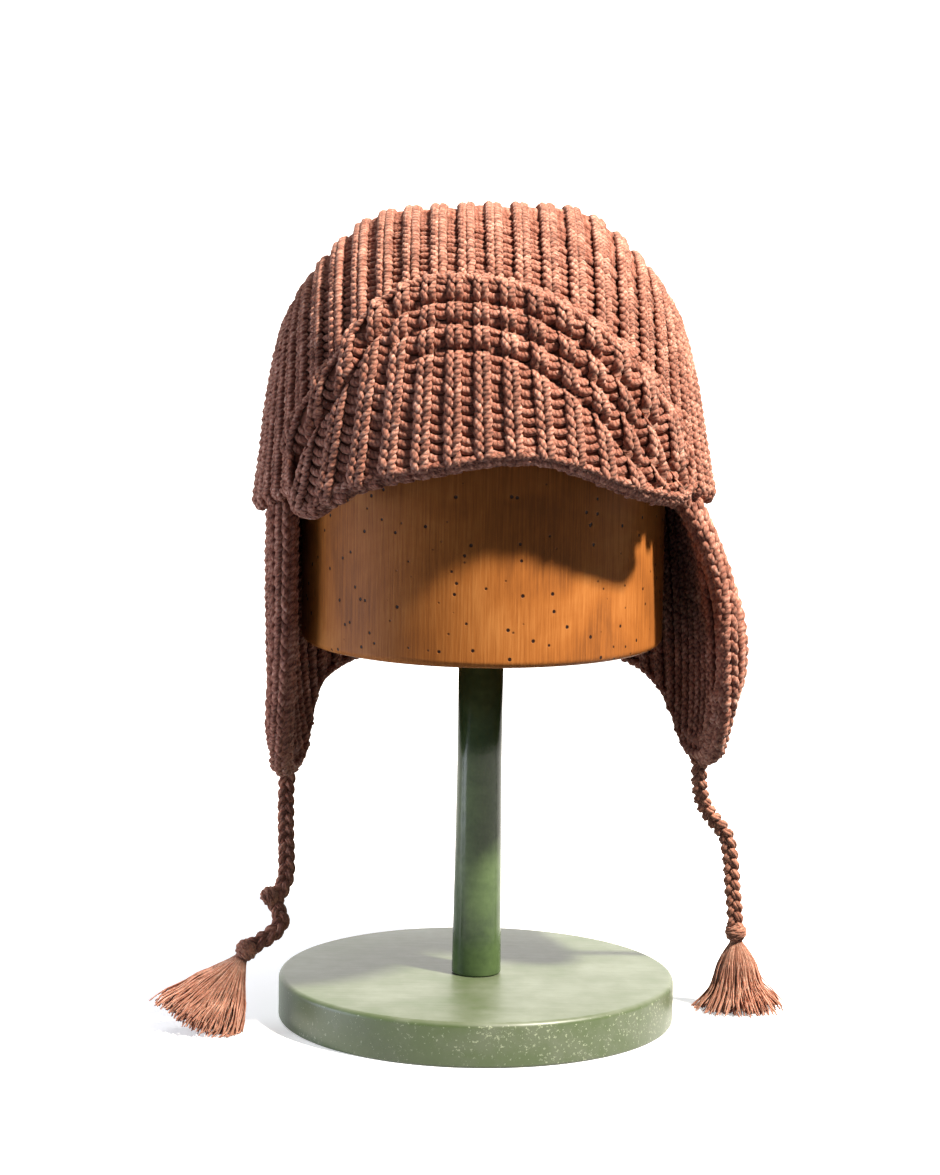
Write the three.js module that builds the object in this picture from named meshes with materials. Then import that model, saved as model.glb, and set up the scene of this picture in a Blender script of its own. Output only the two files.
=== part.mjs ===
import * as THREE from 'three';
import { mergeVertices } from 'three/addons/utils/BufferGeometryUtils.js';

// Knitted aviator hat on a wooden hat stand.
// Millimetres, +Z up, floor at z = 0, stand axis on the Z axis.
// The peak faces -Y. Left and right are the wearer's: left is +X.

// Gaps and walls
const GAP = 0.3;
const CROWN_WALL = 8;
const FLAP_WALL = 8.5;
const PEAK_GAP = 0.7;
const RIM_ROLL = 4;

// Stand
const BASE_DIAMETER = 182;
const BASE_HEIGHT = 20;
const BASE_ROUNDING = 2.5;
const POST_DIAMETER = 20.5;
const COLLAR_DIAMETER = 22.6;
const COLLAR_HEIGHT = 20;
const BLOCK_DEPTH_RATIO = 1.22;
const BLOCK_FOOT_Z = 176;

// Hat block: half width at each height
const BLOCK_PROFILE = [
  { z: BLOCK_FOOT_Z, half_width: 80.5 },
  { z: 178, half_width: 82 },
  { z: 290, half_width: 82 },
  { z: 312, half_width: 78.5 },
  { z: 330, half_width: 70 },
  { z: 345, half_width: 57 },
  { z: 356, half_width: 38 },
  { z: 362, half_width: 18 },
  { z: 363.4, half_width: 0 },
];

// Crown: outer half width, front and back depth at each height
const CROWN_CENTRE_Y = 3;
const CROWN_MIDDLE_Z = 256;
const CROWN_SQUARENESS = 2.35;
const CROWN_PROFILE = [
  { z: 229, half_width: 104, front: 113, back: 117 },
  { z: 240, half_width: 104, front: 115, back: 119.5 },
  { z: 250, half_width: 102.6, front: 115.5, back: 120.5 },
  { z: 264, half_width: 100.4, front: 115.5, back: 121 },
  { z: 290, half_width: 96.5, front: 114, back: 120 },
  { z: 316, half_width: 90.5, front: 109, back: 115.5 },
  { z: 330, half_width: 84, front: 103.5, back: 110 },
  { z: 344, half_width: 74.5, front: 95, back: 101.5 },
  { z: 352, half_width: 67.5, front: 87, back: 93.5 },
  { z: 359, half_width: 60, front: 77, back: 83 },
  { z: 366, half_width: 50, front: 63, back: 68 },
  { z: 370.5, half_width: 36, front: 42, back: 46 },
  { z: 372, half_width: 0, front: 0, back: 0 },
];

// Crown rim: height at the sides, its lift at the brow, its fall at the nape
const RIM_SIDE_Z = 240;
const RIM_BROW_LIFT = 27;
const RIM_NAPE_FALL = 4;

// The ribs run over a ridge along the top, from shoulder to shoulder
const RIDGE_HALF_WIDTH = 83;
const RIDGE_SPREAD = 1.75;
const RIDGE_CORNER = 6;

// The whole hat sits lower on the wearer's right
const SIDE_DROOP = 0.032;
const LEAN_ABOVE = 245;

// Peak: lower and upper edge at each place across the brow
const PEAK_SECTIONS = [
  { x: -79, bottom: 246, top: 276 },
  { x: -76, bottom: 242.5, top: 283 },
  { x: -71, bottom: 241.5, top: 291.5 },
  { x: -61, bottom: 248.5, top: 306 },
  { x: -46, bottom: 255.5, top: 326 },
  { x: -30, bottom: 259, top: 337 },
  { x: -14, bottom: 261.8, top: 340.4 },
  { x: 2, bottom: 264.5, top: 339.6 },
  { x: 17, bottom: 265, top: 336 },
  { x: 30, bottom: 262.6, top: 330 },
  { x: 46, bottom: 256, top: 319.5 },
  { x: 60, bottom: 249.5, top: 306 },
  { x: 72, bottom: 245.3, top: 289 },
  { x: 80, bottom: 243.5, top: 272 },
  { x: 84.5, bottom: 247, top: 259 },
];

// Quilted arcs of the peak: thickness at each distance from its outer edge
const PEAK_BANDS = [
  { from_edge: 0, thick: 5.2 },
  { from_edge: 2.5, thick: 8.4 },
  { from_edge: 6.5, thick: 8.8 },
  { from_edge: 9.5, thick: 7.6 },
  { from_edge: 10.8, thick: 5.0 },
  { from_edge: 12.2, thick: 7.4 },
  { from_edge: 15, thick: 8.2 },
  { from_edge: 18.4, thick: 7.2 },
  { from_edge: 19.7, thick: 5.1 },
  { from_edge: 21.1, thick: 7.3 },
  { from_edge: 24.5, thick: 8.0 },
  { from_edge: 28.4, thick: 7.2 },
  { from_edge: 29.7, thick: 5.3 },
  { from_edge: 31.2, thick: 7.6 },
  { from_edge: 36, thick: 8.0 },
];
const PEAK_FIELD_ROWS = 5;
const PEAK_FIELD_THICK = 8.2;
const PEAK_HEM_THICK = 9.4;

// Flap curtain: plan at its top, then its fall and sideways splay by angle
const CURTAIN_HALF_WIDTH = 98;
const CURTAIN_FRONT = 108;
const CURTAIN_BACK = 113;
const CURTAIN_SECTIONS = [
  { angle: -63, fall: 62, splay_middle: 0, splay_low: 0 },
  { angle: -68, fall: 94, splay_middle: 0, splay_low: -1 },
  { angle: -74, fall: 112, splay_middle: 0, splay_low: -2 },
  { angle: -82, fall: 121, splay_middle: 0, splay_low: -4 },
  { angle: -90, fall: 122, splay_middle: -1, splay_low: -7 },
  { angle: -98, fall: 117.5, splay_middle: -1, splay_low: -10 },
  { angle: -110, fall: 102, splay_middle: -1, splay_low: -8 },
  { angle: -125, fall: 88, splay_middle: 0, splay_low: -3 },
  { angle: -150, fall: 79, splay_middle: 0, splay_low: 0 },
  { angle: -180, fall: 77, splay_middle: 0, splay_low: 0 },
  { angle: -210, fall: 79, splay_middle: 0, splay_low: 0 },
  { angle: -235, fall: 87, splay_middle: 0, splay_low: 0 },
  { angle: -250, fall: 99, splay_middle: 2, splay_low: 1 },
  { angle: -262, fall: 113, splay_middle: 4, splay_low: 2 },
  { angle: -270, fall: 118.5, splay_middle: 7, splay_low: 5 },
  { angle: -278, fall: 119, splay_middle: 11, splay_low: 11 },
  { angle: -286, fall: 110, splay_middle: 13.5, splay_low: 16 },
  { angle: -292, fall: 92, splay_middle: 16.5, splay_low: 20.5 },
  { angle: -297, fall: 62, splay_middle: 17.5, splay_low: 21.5 },
];

// Ties: route of each cord from the flap tip to the tassel head
const TIE_DIAMETER = 7.6;
const TIE_SIDES = 10;
const TIE_STEPS = 26;
const TIE_RIGHT_ROUTE = [
  { x: -87.9, y: -4, z: 109.7 },
  { x: -88.1, y: -5.5, z: 102 },
  { x: -88, y: -8, z: 93 },
  { x: -87.6, y: -11, z: 84.5 },
  { x: -87.2, y: -14.5, z: 76 },
  { x: -87, y: -18, z: 68.5 },
  { x: -88.8, y: -20.5, z: 62.6 },
  { x: -91.4, y: -22, z: 58.2 },
  { x: -90.6, y: -23.5, z: 53.6 },
  { x: -88.6, y: -25, z: 49.4 },
  { x: -90.2, y: -27, z: 45.4 },
  { x: -94.4, y: -29, z: 42 },
  { x: -99.2, y: -30.5, z: 39.2 },
];
const TIE_LEFT_ROUTE = [
  { x: 100.4, y: -3, z: 118.3 },
  { x: 100.9, y: -0.5, z: 110 },
  { x: 102.2, y: 2.5, z: 103.2 },
  { x: 104.6, y: 5.5, z: 97.4 },
  { x: 108, y: 8, z: 92.4 },
  { x: 111.8, y: 10, z: 87.8 },
  { x: 115, y: 11.5, z: 82.8 },
  { x: 116.6, y: 12.5, z: 76.2 },
  { x: 117.8, y: 13.3, z: 67.8 },
  { x: 118.6, y: 14, z: 58.5 },
  { x: 119.8, y: 14.5, z: 49.4 },
  { x: 120.4, y: 15, z: 42.6 },
];

// Tassel heads and skirts
const KNOT_DIAMETER = 10.4;
const TASSEL_PROFILE = [
  { along: 0, half_width: 3.6 },
  { along: 0.09, half_width: 4.9 },
  { along: 0.28, half_width: 7.6 },
  { along: 0.53, half_width: 11.8 },
  { along: 0.78, half_width: 16.0 },
  { along: 0.95, half_width: 18.6 },
  { along: 1, half_width: 17.2 },
];
const TASSEL_SIDES = 20;
const TASSEL_RIGHT = { length: 36, lean: 33, turn: 196, width: 1.18, depth: 0.62 };
const TASSEL_LEFT = { length: 31.5, lean: 3, turn: 10, width: 1.1, depth: 0.88 };

// Colours
const RUST_YARN = 0x9a5f48;
const WOOD = 0xa8652f;
const GREEN_PAINT = 0x8fa67e;
const GREEN_GLOSS = 0x4f6242;

const DEG = Math.PI / 180;
const group = new THREE.Group();
group.name = 'knitted_aviator_hat';

// Monotone cubic through the rows of a table, read by one column against another
function readTable(rows, key, value, at) {
  const last = rows.length - 1;
  const x = rows.map((row) => row[key]);
  const y = rows.map((row) => value(row));
  const t = Math.min(Math.max(at, x[0]), x[last]);
  const step = (i) => x[i + 1] - x[i];
  const rise = (i) => (y[i + 1] - y[i]) / step(i);
  const slope = (i) => {
    if (i === 0) return rise(0);
    if (i === last) return rise(last - 1);
    if (rise(i - 1) * rise(i) <= 0) return 0;
    const before = 2 * step(i) + step(i - 1);
    const after = step(i) + 2 * step(i - 1);
    return (before + after) / (before / rise(i - 1) + after / rise(i));
  };
  let i = 0;
  while (i < last - 1 && t > x[i + 1]) i += 1;
  const s = (t - x[i]) / step(i);
  const r = 1 - s;
  const start = (1 + 2 * s) * r * r * y[i] + s * r * r * step(i) * slope(i);
  return start + s * s * (3 - 2 * s) * y[i + 1] - s * s * r * step(i) * slope(i + 1);
}

// Closed solid from its vertices and triangles
function addSolid(name, vertices, triangles, colour, roughness) {
  const raw = new THREE.BufferGeometry();
  const flat = vertices.flatMap((v) => [v.x, v.y, v.z]);
  raw.setAttribute('position', new THREE.Float32BufferAttribute(flat, 3));
  raw.setIndex(triangles.flat());
  const welded = mergeVertices(raw, 1e-3);
  const index = welded.getIndex().array;
  const kept = [];
  for (let i = 0; i < index.length; i += 3) {
    const [a, b, c] = [index[i], index[i + 1], index[i + 2]];
    if (a !== b && b !== c && c !== a) kept.push(a, b, c);
  }
  welded.setIndex(kept);
  welded.computeVertexNormals();
  addMesh(name, welded, colour, roughness);
}

function addMesh(name, geometry, colour, roughness) {
  const material = new THREE.MeshStandardMaterial({ color: colour, roughness, metalness: 0 });
  const mesh = new THREE.Mesh(geometry, material);
  mesh.name = name;
  group.add(mesh);
  return mesh;
}

// Bands of triangles between neighbouring rows of equal length
function stitchRows(rows, wrap) {
  const width = rows[0].length;
  const triangles = [];
  for (let j = 0; j + 1 < rows.length; j += 1) {
    for (let i = 0; i < (wrap ? width : width - 1); i += 1) {
      const next = (i + 1) % width;
      const low = j * width;
      const high = low + width;
      triangles.push([low + i, low + next, high + next], [low + i, high + next, high + i]);
    }
  }
  return triangles;
}

// Solid lofted through closed loops, each end capped across the loop
function loftLoops(loops) {
  const size = loops[0].length;
  const triangles = stitchRows(loops, true);
  const cap = (first, flip) => {
    let a = 0;
    let b = size - 1;
    while (b - a > 1) {
      const one = [first + a, first + b, first + a + 1];
      const two = [first + a + 1, first + b, first + b - 1];
      triangles.push(flip ? one.reverse() : one);
      if (b - a > 2) triangles.push(flip ? two.reverse() : two);
      a += 1;
      b -= 1;
    }
  };
  cap(0, false);
  cap((loops.length - 1) * size, true);
  return triangles;
}

const droop = (p) => {
  const lean = SIDE_DROOP * Math.max(p.z - LEAN_ABOVE, 0);
  return new THREE.Vector3(p.x - lean, p.y, p.z + SIDE_DROOP * p.x);
};
const signedPower = (t, n) => Math.sign(t) * Math.abs(t) ** n;

// Crown form
const crownTop = CROWN_PROFILE[CROWN_PROFILE.length - 1].z;
const crownSize = (column, z) =>
  Math.sqrt(Math.max(readTable(CROWN_PROFILE, 'z', (row) => row[column] ** 2, z), 1e-6));

function crownInside(p) {
  if (p.z >= crownTop) return 9;
  const depth = crownSize(p.y < CROWN_CENTRE_Y ? 'front' : 'back', p.z);
  const across = Math.abs(p.x) / crownSize('half_width', p.z);
  const along = Math.abs(p.y - CROWN_CENTRE_Y) / depth;
  return across ** CROWN_SQUARENESS + along ** CROWN_SQUARENESS;
}

const crownMiddle = new THREE.Vector3(0, CROWN_CENTRE_Y, CROWN_MIDDLE_Z);

function crownPoint(direction) {
  let low = 20;
  let high = 180;
  const at = (r) => crownMiddle.clone().addScaledVector(direction, r);
  for (let i = 0; i < 40; i += 1) {
    const middle = (low + high) / 2;
    if (crownInside(at(middle)) < 1) low = middle;
    else high = middle;
  }
  return at(low);
}

// Outward normal of the crown from small steps across its form
function crownNormal(p) {
  const h = 0.05;
  const probe = (x, y, z) => {
    const height = Math.min(p.z + z, crownTop - 0.1);
    return crownInside(new THREE.Vector3(p.x + x, p.y + y, height));
  };
  const n = new THREE.Vector3(
    probe(h, 0, 0) - probe(-h, 0, 0),
    probe(0, h, 0) - probe(0, -h, 0),
    probe(0, 0, h) - probe(0, 0, -h),
  );
  return n.normalize();
}

function rimZ(angle) {
  const c = Math.cos(angle);
  if (c > 0) return RIM_SIDE_Z + RIM_BROW_LIFT * c ** 1.5;
  return RIM_SIDE_Z - RIM_NAPE_FALL * Math.abs(c) ** 1.5;
}

// Point of an oval plan at an angle from the brow
function ovalPoint(angle, halfWidth, front, back, z) {
  const power = 2 / CROWN_SQUARENESS;
  const along = signedPower(Math.cos(angle), power);
  const x = halfWidth * signedPower(Math.sin(angle), power);
  return new THREE.Vector3(x, CROWN_CENTRE_Y - along * (along > 0 ? front : back), z);
}

// One rib line, from the rim to the ridge along the top
function ribDirections(degrees) {
  const angle = degrees * DEG;
  const z = rimZ(angle);
  const rim = ovalPoint(
    angle, crownSize('half_width', z), crownSize('front', z), crownSize('back', z), z,
  );
  const sideways = Math.abs(degrees) > 90 ? Math.sign(degrees) * 180 - degrees : degrees;
  const half = sideways / 90;
  const pull = Math.abs(half * RIDGE_SPREAD);
  const x = (RIDGE_HALF_WIDTH * half * RIDGE_SPREAD) / (1 + pull ** RIDGE_CORNER) ** (1 / RIDGE_CORNER);
  let low = RIM_SIDE_Z;
  let high = crownTop;
  for (let i = 0; i < 40; i += 1) {
    const middle = (low + high) / 2;
    if (crownSize('half_width', middle) > Math.abs(x)) low = middle;
    else high = middle;
  }
  const ridge = new THREE.Vector3(x, CROWN_CENTRE_Y, low);
  return [rim.sub(crownMiddle).normalize(), ridge.sub(crownMiddle).normalize()];
}

function turnBetween(a, b, share) {
  const whole = a.angleTo(b);
  const first = Math.sin((1 - share) * whole) / Math.sin(whole);
  const second = Math.sin(share * whole) / Math.sin(whole);
  return a.clone().multiplyScalar(first).addScaledVector(b, second).normalize();
}

// Crown wall
const CROWN_COLUMNS = 48;
const CROWN_ROWS = 11;
{
  const outer = [];
  const inner = [];
  for (let j = 0; j <= CROWN_ROWS; j += 1) {
    outer.push([]);
    inner.push([]);
    for (let i = 0; i < CROWN_COLUMNS; i += 1) {
      const [rim, ridge] = ribDirections((i / CROWN_COLUMNS) * 360 - 180);
      const p = crownPoint(j < CROWN_ROWS ? turnBetween(rim, ridge, j / CROWN_ROWS) : ridge);
      const n = crownNormal(p);
      if (j === 0) n.setZ(0).normalize();
      if (j === CROWN_ROWS) n.setY(0).normalize();
      outer[j].push(droop(p));
      inner[j].push(droop(p.clone().addScaledVector(n, -CROWN_WALL)));
    }
  }
  const roll = outer[0].map((p, i) => {
    const middle = p.clone().lerp(inner[0][i], 0.5);
    return middle.setZ(middle.z - RIM_ROLL);
  });
  const rows = [...inner.slice().reverse(), roll, ...outer];
  addSolid('crown', rows.flat(), stitchRows(rows, true), RUST_YARN, 0.95);
}

// Peak: a curved pad on the brow, thinned along its quilted arcs
const PEAK_COLUMNS = 26;
function peakLoop(x, squeeze) {
  const edge = (column, at) => readTable(PEAK_SECTIONS, 'x', (row) => row[column], at);
  const top = edge('top', x);
  const bottom = edge('bottom', x);
  const slope = (edge('top', x + 2) - edge('top', x - 2)) / 4;
  const stretch = Math.min(Math.sqrt(1 + slope * slope), 2.2);
  const height = top - bottom;
  const soften = (s) => (s < 0.7 ? s : 0.7 + 0.25 * (1 - Math.exp((0.7 - s) / 0.25)));
  const rows = PEAK_BANDS.map((band) => ({
    z: top - height * soften((band.from_edge * stretch) / height),
    thick: band.thick,
  }));
  const start = rows[rows.length - 1].z;
  for (let i = 1; i <= PEAK_FIELD_ROWS; i += 1) {
    const hem = i === PEAK_FIELD_ROWS;
    const share = i / PEAK_FIELD_ROWS;
    const padded = PEAK_FIELD_THICK + (PEAK_HEM_THICK - PEAK_FIELD_THICK) * share;
    rows.push({ z: start + (bottom - start) * share, thick: hem ? PEAK_HEM_THICK * 0.75 : padded });
  }
  const seat = rows.map((row) => {
    const a = crownSize('half_width', row.z);
    const inside = Math.max(1 - (Math.abs(x) / a) ** CROWN_SQUARENESS, 0.001);
    const y = CROWN_CENTRE_Y - crownSize('front', row.z) * inside ** (1 / CROWN_SQUARENESS);
    return new THREE.Vector3(x, y, row.z);
  });
  const lifted = (i, amount) => droop(seat[i].clone().addScaledVector(crownNormal(seat[i]), amount));
  const front = rows.map((row, i) => lifted(i, PEAK_GAP + 0.5 + (row.thick - 0.5) * squeeze));
  const back = rows.map((row, i) => lifted(i, PEAK_GAP));
  return [...front, ...back.reverse()];
}
{
  const first = PEAK_SECTIONS[0].x;
  const last = PEAK_SECTIONS[PEAK_SECTIONS.length - 1].x;
  const loops = [];
  for (let i = 0; i <= PEAK_COLUMNS; i += 1) {
    const share = (1 - Math.cos((i / PEAK_COLUMNS) * Math.PI)) / 2;
    const blend = 0.45 * share + 0.55 * (i / PEAK_COLUMNS);
    const end = Math.min(i, PEAK_COLUMNS - i);
    loops.push(peakLoop(first + (last - first) * blend, [0.4, 0.85][end] ?? 1));
  }
  addSolid('peak', loops.flat(), loftLoops(loops), RUST_YARN, 0.95);
}

// Flap curtain: ear flaps and neck flap hanging under the rim
const CURTAIN_COLUMNS = 48;
const CURTAIN_ROWS = 8;
function curtainLoop(degrees, squeeze) {
  const read = (column) => readTable(turnedSections, 'turn', (row) => row[column], -degrees);
  const angle = degrees * DEG;
  const topZ = rimZ(angle) - RIM_ROLL * 0.5 - 3 * GAP;
  const side = signedPower(Math.sin(angle), 0.3);
  const surface = (wall, share) => {
    const p = ovalPoint(angle, CURTAIN_HALF_WIDTH - wall, CURTAIN_FRONT - wall, CURTAIN_BACK - wall, 0);
    const middle = 4 * share * (1 - share) * read('splay_middle');
    const low = share * (2 * share - 1) * read('splay_low');
    p.x += side * (middle + low);
    p.z = topZ - share * read('fall');
    return droop(p);
  };
  const half = FLAP_WALL / 2;
  const loop = [];
  for (let j = 0; j <= CURTAIN_ROWS; j += 1) {
    loop.push(surface(half - half * squeeze, j / CURTAIN_ROWS));
  }
  const tip = surface(half, 1);
  loop.push(tip.setZ(tip.z - 2.5));
  for (let j = CURTAIN_ROWS; j >= 0; j -= 1) {
    loop.push(surface(half + half * squeeze, j / CURTAIN_ROWS));
  }
  return loop;
}
const turnedSections = CURTAIN_SECTIONS.map((row) => ({ ...row, turn: -row.angle }));
{
  const first = CURTAIN_SECTIONS[0].angle;
  const last = CURTAIN_SECTIONS[CURTAIN_SECTIONS.length - 1].angle;
  const loops = [];
  for (let i = CURTAIN_COLUMNS; i >= 0; i -= 1) {
    const end = Math.min(i, CURTAIN_COLUMNS - i);
    loops.push(curtainLoop(first + ((last - first) * i) / CURTAIN_COLUMNS, end === 0 ? 0.55 : 1));
  }
  addSolid('ear_neck_flap', loops.flat(), loftLoops(loops), RUST_YARN, 0.95);
}

// Ties, their knots and tassels
const toPoint = (row) => new THREE.Vector3(row.x, row.y, row.z);

function addTie(name, route) {
  const curve = new THREE.CatmullRomCurve3(route.map(toPoint));
  const ring = [];
  for (let i = 0; i < TIE_SIDES; i += 1) {
    const turn = (i / TIE_SIDES) * 2 * Math.PI;
    ring.push(new THREE.Vector2(Math.cos(turn), Math.sin(turn)).multiplyScalar(TIE_DIAMETER / 2));
  }
  const options = { steps: TIE_STEPS, extrudePath: curve, bevelEnabled: false };
  addMesh(name, new THREE.ExtrudeGeometry(new THREE.Shape(ring), options), RUST_YARN, 0.95);
  return { end: curve.getPoint(1), along: curve.getTangent(1) };
}

function addKnot(name, tie) {
  const knot = addMesh(name, new THREE.SphereGeometry(KNOT_DIAMETER / 2, 12, 8), RUST_YARN, 0.95);
  knot.position.copy(tie.end).addScaledVector(tie.along, KNOT_DIAMETER / 2 + GAP);
  return knot.position;
}

function addTassel(name, knot, shape) {
  const down = new THREE.Vector3(
    Math.sin(shape.lean * DEG) * Math.cos(shape.turn * DEG),
    Math.sin(shape.lean * DEG) * Math.sin(shape.turn * DEG),
    -Math.cos(shape.lean * DEG),
  );
  const across = new THREE.Vector3(1, 0, 0).addScaledVector(down, -down.x).normalize();
  const deep = new THREE.Vector3().crossVectors(down, across);
  const start = knot.clone().addScaledVector(down, KNOT_DIAMETER / 2 + GAP);
  const rings = TASSEL_PROFILE.map((row) => {
    const ring = [];
    for (let i = 0; i < TASSEL_SIDES; i += 1) {
      const turn = (i / TASSEL_SIDES) * 2 * Math.PI;
      const grow = Math.min(row.along * 2.5, 1);
      const wide = row.half_width * (1 + (shape.width - 1) * grow) * Math.cos(turn);
      const thick = row.half_width * (1 + (shape.depth - 1) * grow) * Math.sin(turn);
      const p = start.clone().addScaledVector(down, row.along * shape.length);
      p.addScaledVector(across, wide).addScaledVector(deep, thick);
      ring.push(p.setZ(Math.max(p.z, GAP)));
    }
    return ring;
  });
  const ends = [rings[0], rings[rings.length - 1]].map((ring) => {
    const middle = new THREE.Vector3();
    ring.forEach((p) => middle.addScaledVector(p, 1 / ring.length));
    return ring.map(() => middle.clone());
  });
  const rows = [ends[0], ...rings, ends[1]];
  addSolid(name, rows.flat(), stitchRows(rows, true), RUST_YARN, 0.95);
}

const tieRight = addTie('tie_right', TIE_RIGHT_ROUTE);
const tieLeft = addTie('tie_left', TIE_LEFT_ROUTE);
addTassel('tassel_right', addKnot('knot_right', tieRight), TASSEL_RIGHT);
addTassel('tassel_left', addKnot('knot_left', tieLeft), TASSEL_LEFT);

// Hat block
const BLOCK_SIDES = 48;
{
  const rows = BLOCK_PROFILE.map((row) => {
    const ring = [];
    for (let i = 0; i < BLOCK_SIDES; i += 1) {
      const turn = (i / BLOCK_SIDES) * 2 * Math.PI;
      const wide = row.half_width * Math.cos(turn);
      ring.push(new THREE.Vector3(wide, row.half_width * BLOCK_DEPTH_RATIO * Math.sin(turn), row.z));
    }
    return ring;
  });
  const foot = rows[0].map(() => new THREE.Vector3(0, 0, BLOCK_FOOT_Z));
  const all = [foot, ...rows];
  addSolid('hat_block', all.flat(), stitchRows(all, true), WOOD, 0.55);
}

// Post and base, turned about the Z axis
function addTurned(name, profile, sides, colour, roughness) {
  const geometry = new THREE.LatheGeometry(profile.map(([r, z]) => new THREE.Vector2(r, z)), sides);
  addMesh(name, geometry.rotateX(Math.PI / 2), colour, roughness);
}

const postFoot = BASE_HEIGHT + GAP;
addTurned('stand_post', [
  [0, postFoot],
  [COLLAR_DIAMETER / 2, postFoot],
  [COLLAR_DIAMETER / 2, postFoot + COLLAR_HEIGHT - 1],
  [POST_DIAMETER / 2, postFoot + COLLAR_HEIGHT],
  [POST_DIAMETER / 2, BLOCK_FOOT_Z - GAP],
  [0, BLOCK_FOOT_Z - GAP],
], 32, GREEN_GLOSS, 0.3);

addTurned('stand_base', [
  [0, 0],
  [BASE_DIAMETER / 2 - BASE_ROUNDING / 2, 0],
  [BASE_DIAMETER / 2, BASE_ROUNDING / 2],
  [BASE_DIAMETER / 2, BASE_HEIGHT - BASE_ROUNDING],
  [BASE_DIAMETER / 2 - BASE_ROUNDING * 0.3, BASE_HEIGHT - BASE_ROUNDING * 0.3],
  [BASE_DIAMETER / 2 - BASE_ROUNDING, BASE_HEIGHT],
  [0, BASE_HEIGHT],
], 64, GREEN_PAINT, 0.7);

export default group;
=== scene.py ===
"""Knitted aviator hat on a hat stand: its looks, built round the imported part.

Sizes are in millimetres until a mesh is made. The peak faces -Y, +Z is up, left and right are the wearer's.
"""
import math

import bmesh
import bpy
import numpy as np
from mathutils import Matrix


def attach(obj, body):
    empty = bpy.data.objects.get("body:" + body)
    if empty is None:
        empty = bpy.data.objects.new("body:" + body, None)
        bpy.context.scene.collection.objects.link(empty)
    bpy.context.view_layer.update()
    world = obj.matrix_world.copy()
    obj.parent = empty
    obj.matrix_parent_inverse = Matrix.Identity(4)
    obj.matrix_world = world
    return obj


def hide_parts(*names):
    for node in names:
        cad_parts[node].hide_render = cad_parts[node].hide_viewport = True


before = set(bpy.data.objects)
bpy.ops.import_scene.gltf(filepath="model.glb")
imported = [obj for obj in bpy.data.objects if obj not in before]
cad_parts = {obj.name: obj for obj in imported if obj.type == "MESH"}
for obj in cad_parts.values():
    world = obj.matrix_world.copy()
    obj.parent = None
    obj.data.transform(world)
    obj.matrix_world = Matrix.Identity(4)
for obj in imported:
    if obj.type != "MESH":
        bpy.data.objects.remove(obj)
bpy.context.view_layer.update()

MM = 0.001
UP = np.array([0.0, 0.0, 1.0])
scene = bpy.context.scene
chance = np.random.default_rng(11)

# Camera, at the photograph's viewing angle
EYE = (-5.6, -1355.0, 362.0)
LOOK_DOWN = 6.87
PICTURE_ROLL = 0.9
PICTURE_HEIGHT = 1175
FOCAL_PIXELS = 3000
SENSOR = 36.0

# Crown: outer half width, front and back depth at each height
CROWN_PROFILE = dict(
    z=(229, 240, 250, 264, 290, 316, 330, 344, 352, 359, 366, 370.5, 372),
    half_width=(104, 104, 102.6, 100.4, 96.5, 90.5, 84, 74.5, 67.5, 60, 50, 36, 0),
    front=(113, 115, 115.5, 115.5, 114, 109, 103.5, 95, 87, 77, 63, 42, 0),
    back=(117, 119.5, 120.5, 121, 120, 115.5, 110, 101.5, 93.5, 83, 68, 46, 0),
)
CROWN_MIDDLE = np.array([0.0, 3.0, 256.0])
CROWN_TOP = 372.0
CROWN_SQUARENESS = 2.35
CROWN_WALL = 8.0
RIM_SIDE_Z, RIM_BROW_LIFT, RIM_NAPE_FALL, RIM_BEND, RIM_ROLL = 240.0, 27.0, 4.0, 1.5, 4.0
RIDGE_HALF_WIDTH, RIDGE_SPREAD, RIDGE_CORNER = 83.0, 2.15, 6
RIM_TUCK, RIM_GROUND_LIFT = (9.0, 3.0), 3.5
SIDE_DROOP, LEAN_ABOVE = 0.032, 245.0

# Ribs and their stitches; a rib's line has so many points, and a few more where it is rolled round the rim
QUARTER_RIBS, RIB_STEPS, ROLL_STEPS = 15, 48, 3
RIB_PITCH = 11.6
STITCH_PITCH, CROWN_STITCH_PITCH, RIDGE_STITCH_PITCH, BORDER_STITCH_PITCH = 4.0, 3.6, 4.2, 5.4
STITCH_WIDTH, EDGE_STITCH_WIDTH = 11.6, 6.0
STITCH_SINK = 1.2
NARROWEST_RIB, WIDEST_PEAK_RIB, FLAP_RIB_WIDTHS = 6.0, 15.6, (4, 17)
MOST_RIBS_MERGED = 8
GROUND_DEPTH, FLAP_GROUND_DEPTH, PEAK_GROUND_DEPTH = 3.9, 3.4, 3.2

# Yarn: millimetres to one unit of its along_yarn map, and between the dark lines of its plies
YARN_PER_UV, PLY_LINE_STEP = 10.0, 2.0

# Peak: lower and upper edge across the brow, and its quilted arcs by their distance from the upper edge
PEAK_OUTLINE = dict(
    x=(-79, -76, -71, -61, -46, -30, -14, 2, 17, 30, 46, 60, 72, 80, 84.5),
    bottom=(246, 242.5, 241.5, 248.5, 255.5, 259, 261.8, 264.5, 265, 262.6, 256, 249.5, 245.3, 243.5, 247),
    top=(276, 283, 291.5, 306, 326, 337, 340.4, 339.6, 336, 330, 319.5, 306, 289, 272, 259),
)
PEAK_ARCS = dict(
    from_edge=(10.8, 19.7, 29.7),
    depth=(7.0, 6.2, 6.2),
    fades_out_at=(-120, -47, -40),
    fades_over=14,
)
PEAK_THICK = 8.9
HEM_SWELL, HEM_SWELL_AT, HEM_SWELL_WIDE = 0.8, 6, 5
EDGE_THIN, EDGE_THIN_AT, EDGE_THIN_WIDE = 4.2, -0.3, 2.0
TUCK_ROLL, TUCK_SHADE = 4.6, 0.8
PEAK_RELIEF, HEM_ROLL = 0.62, 2.2
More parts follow.
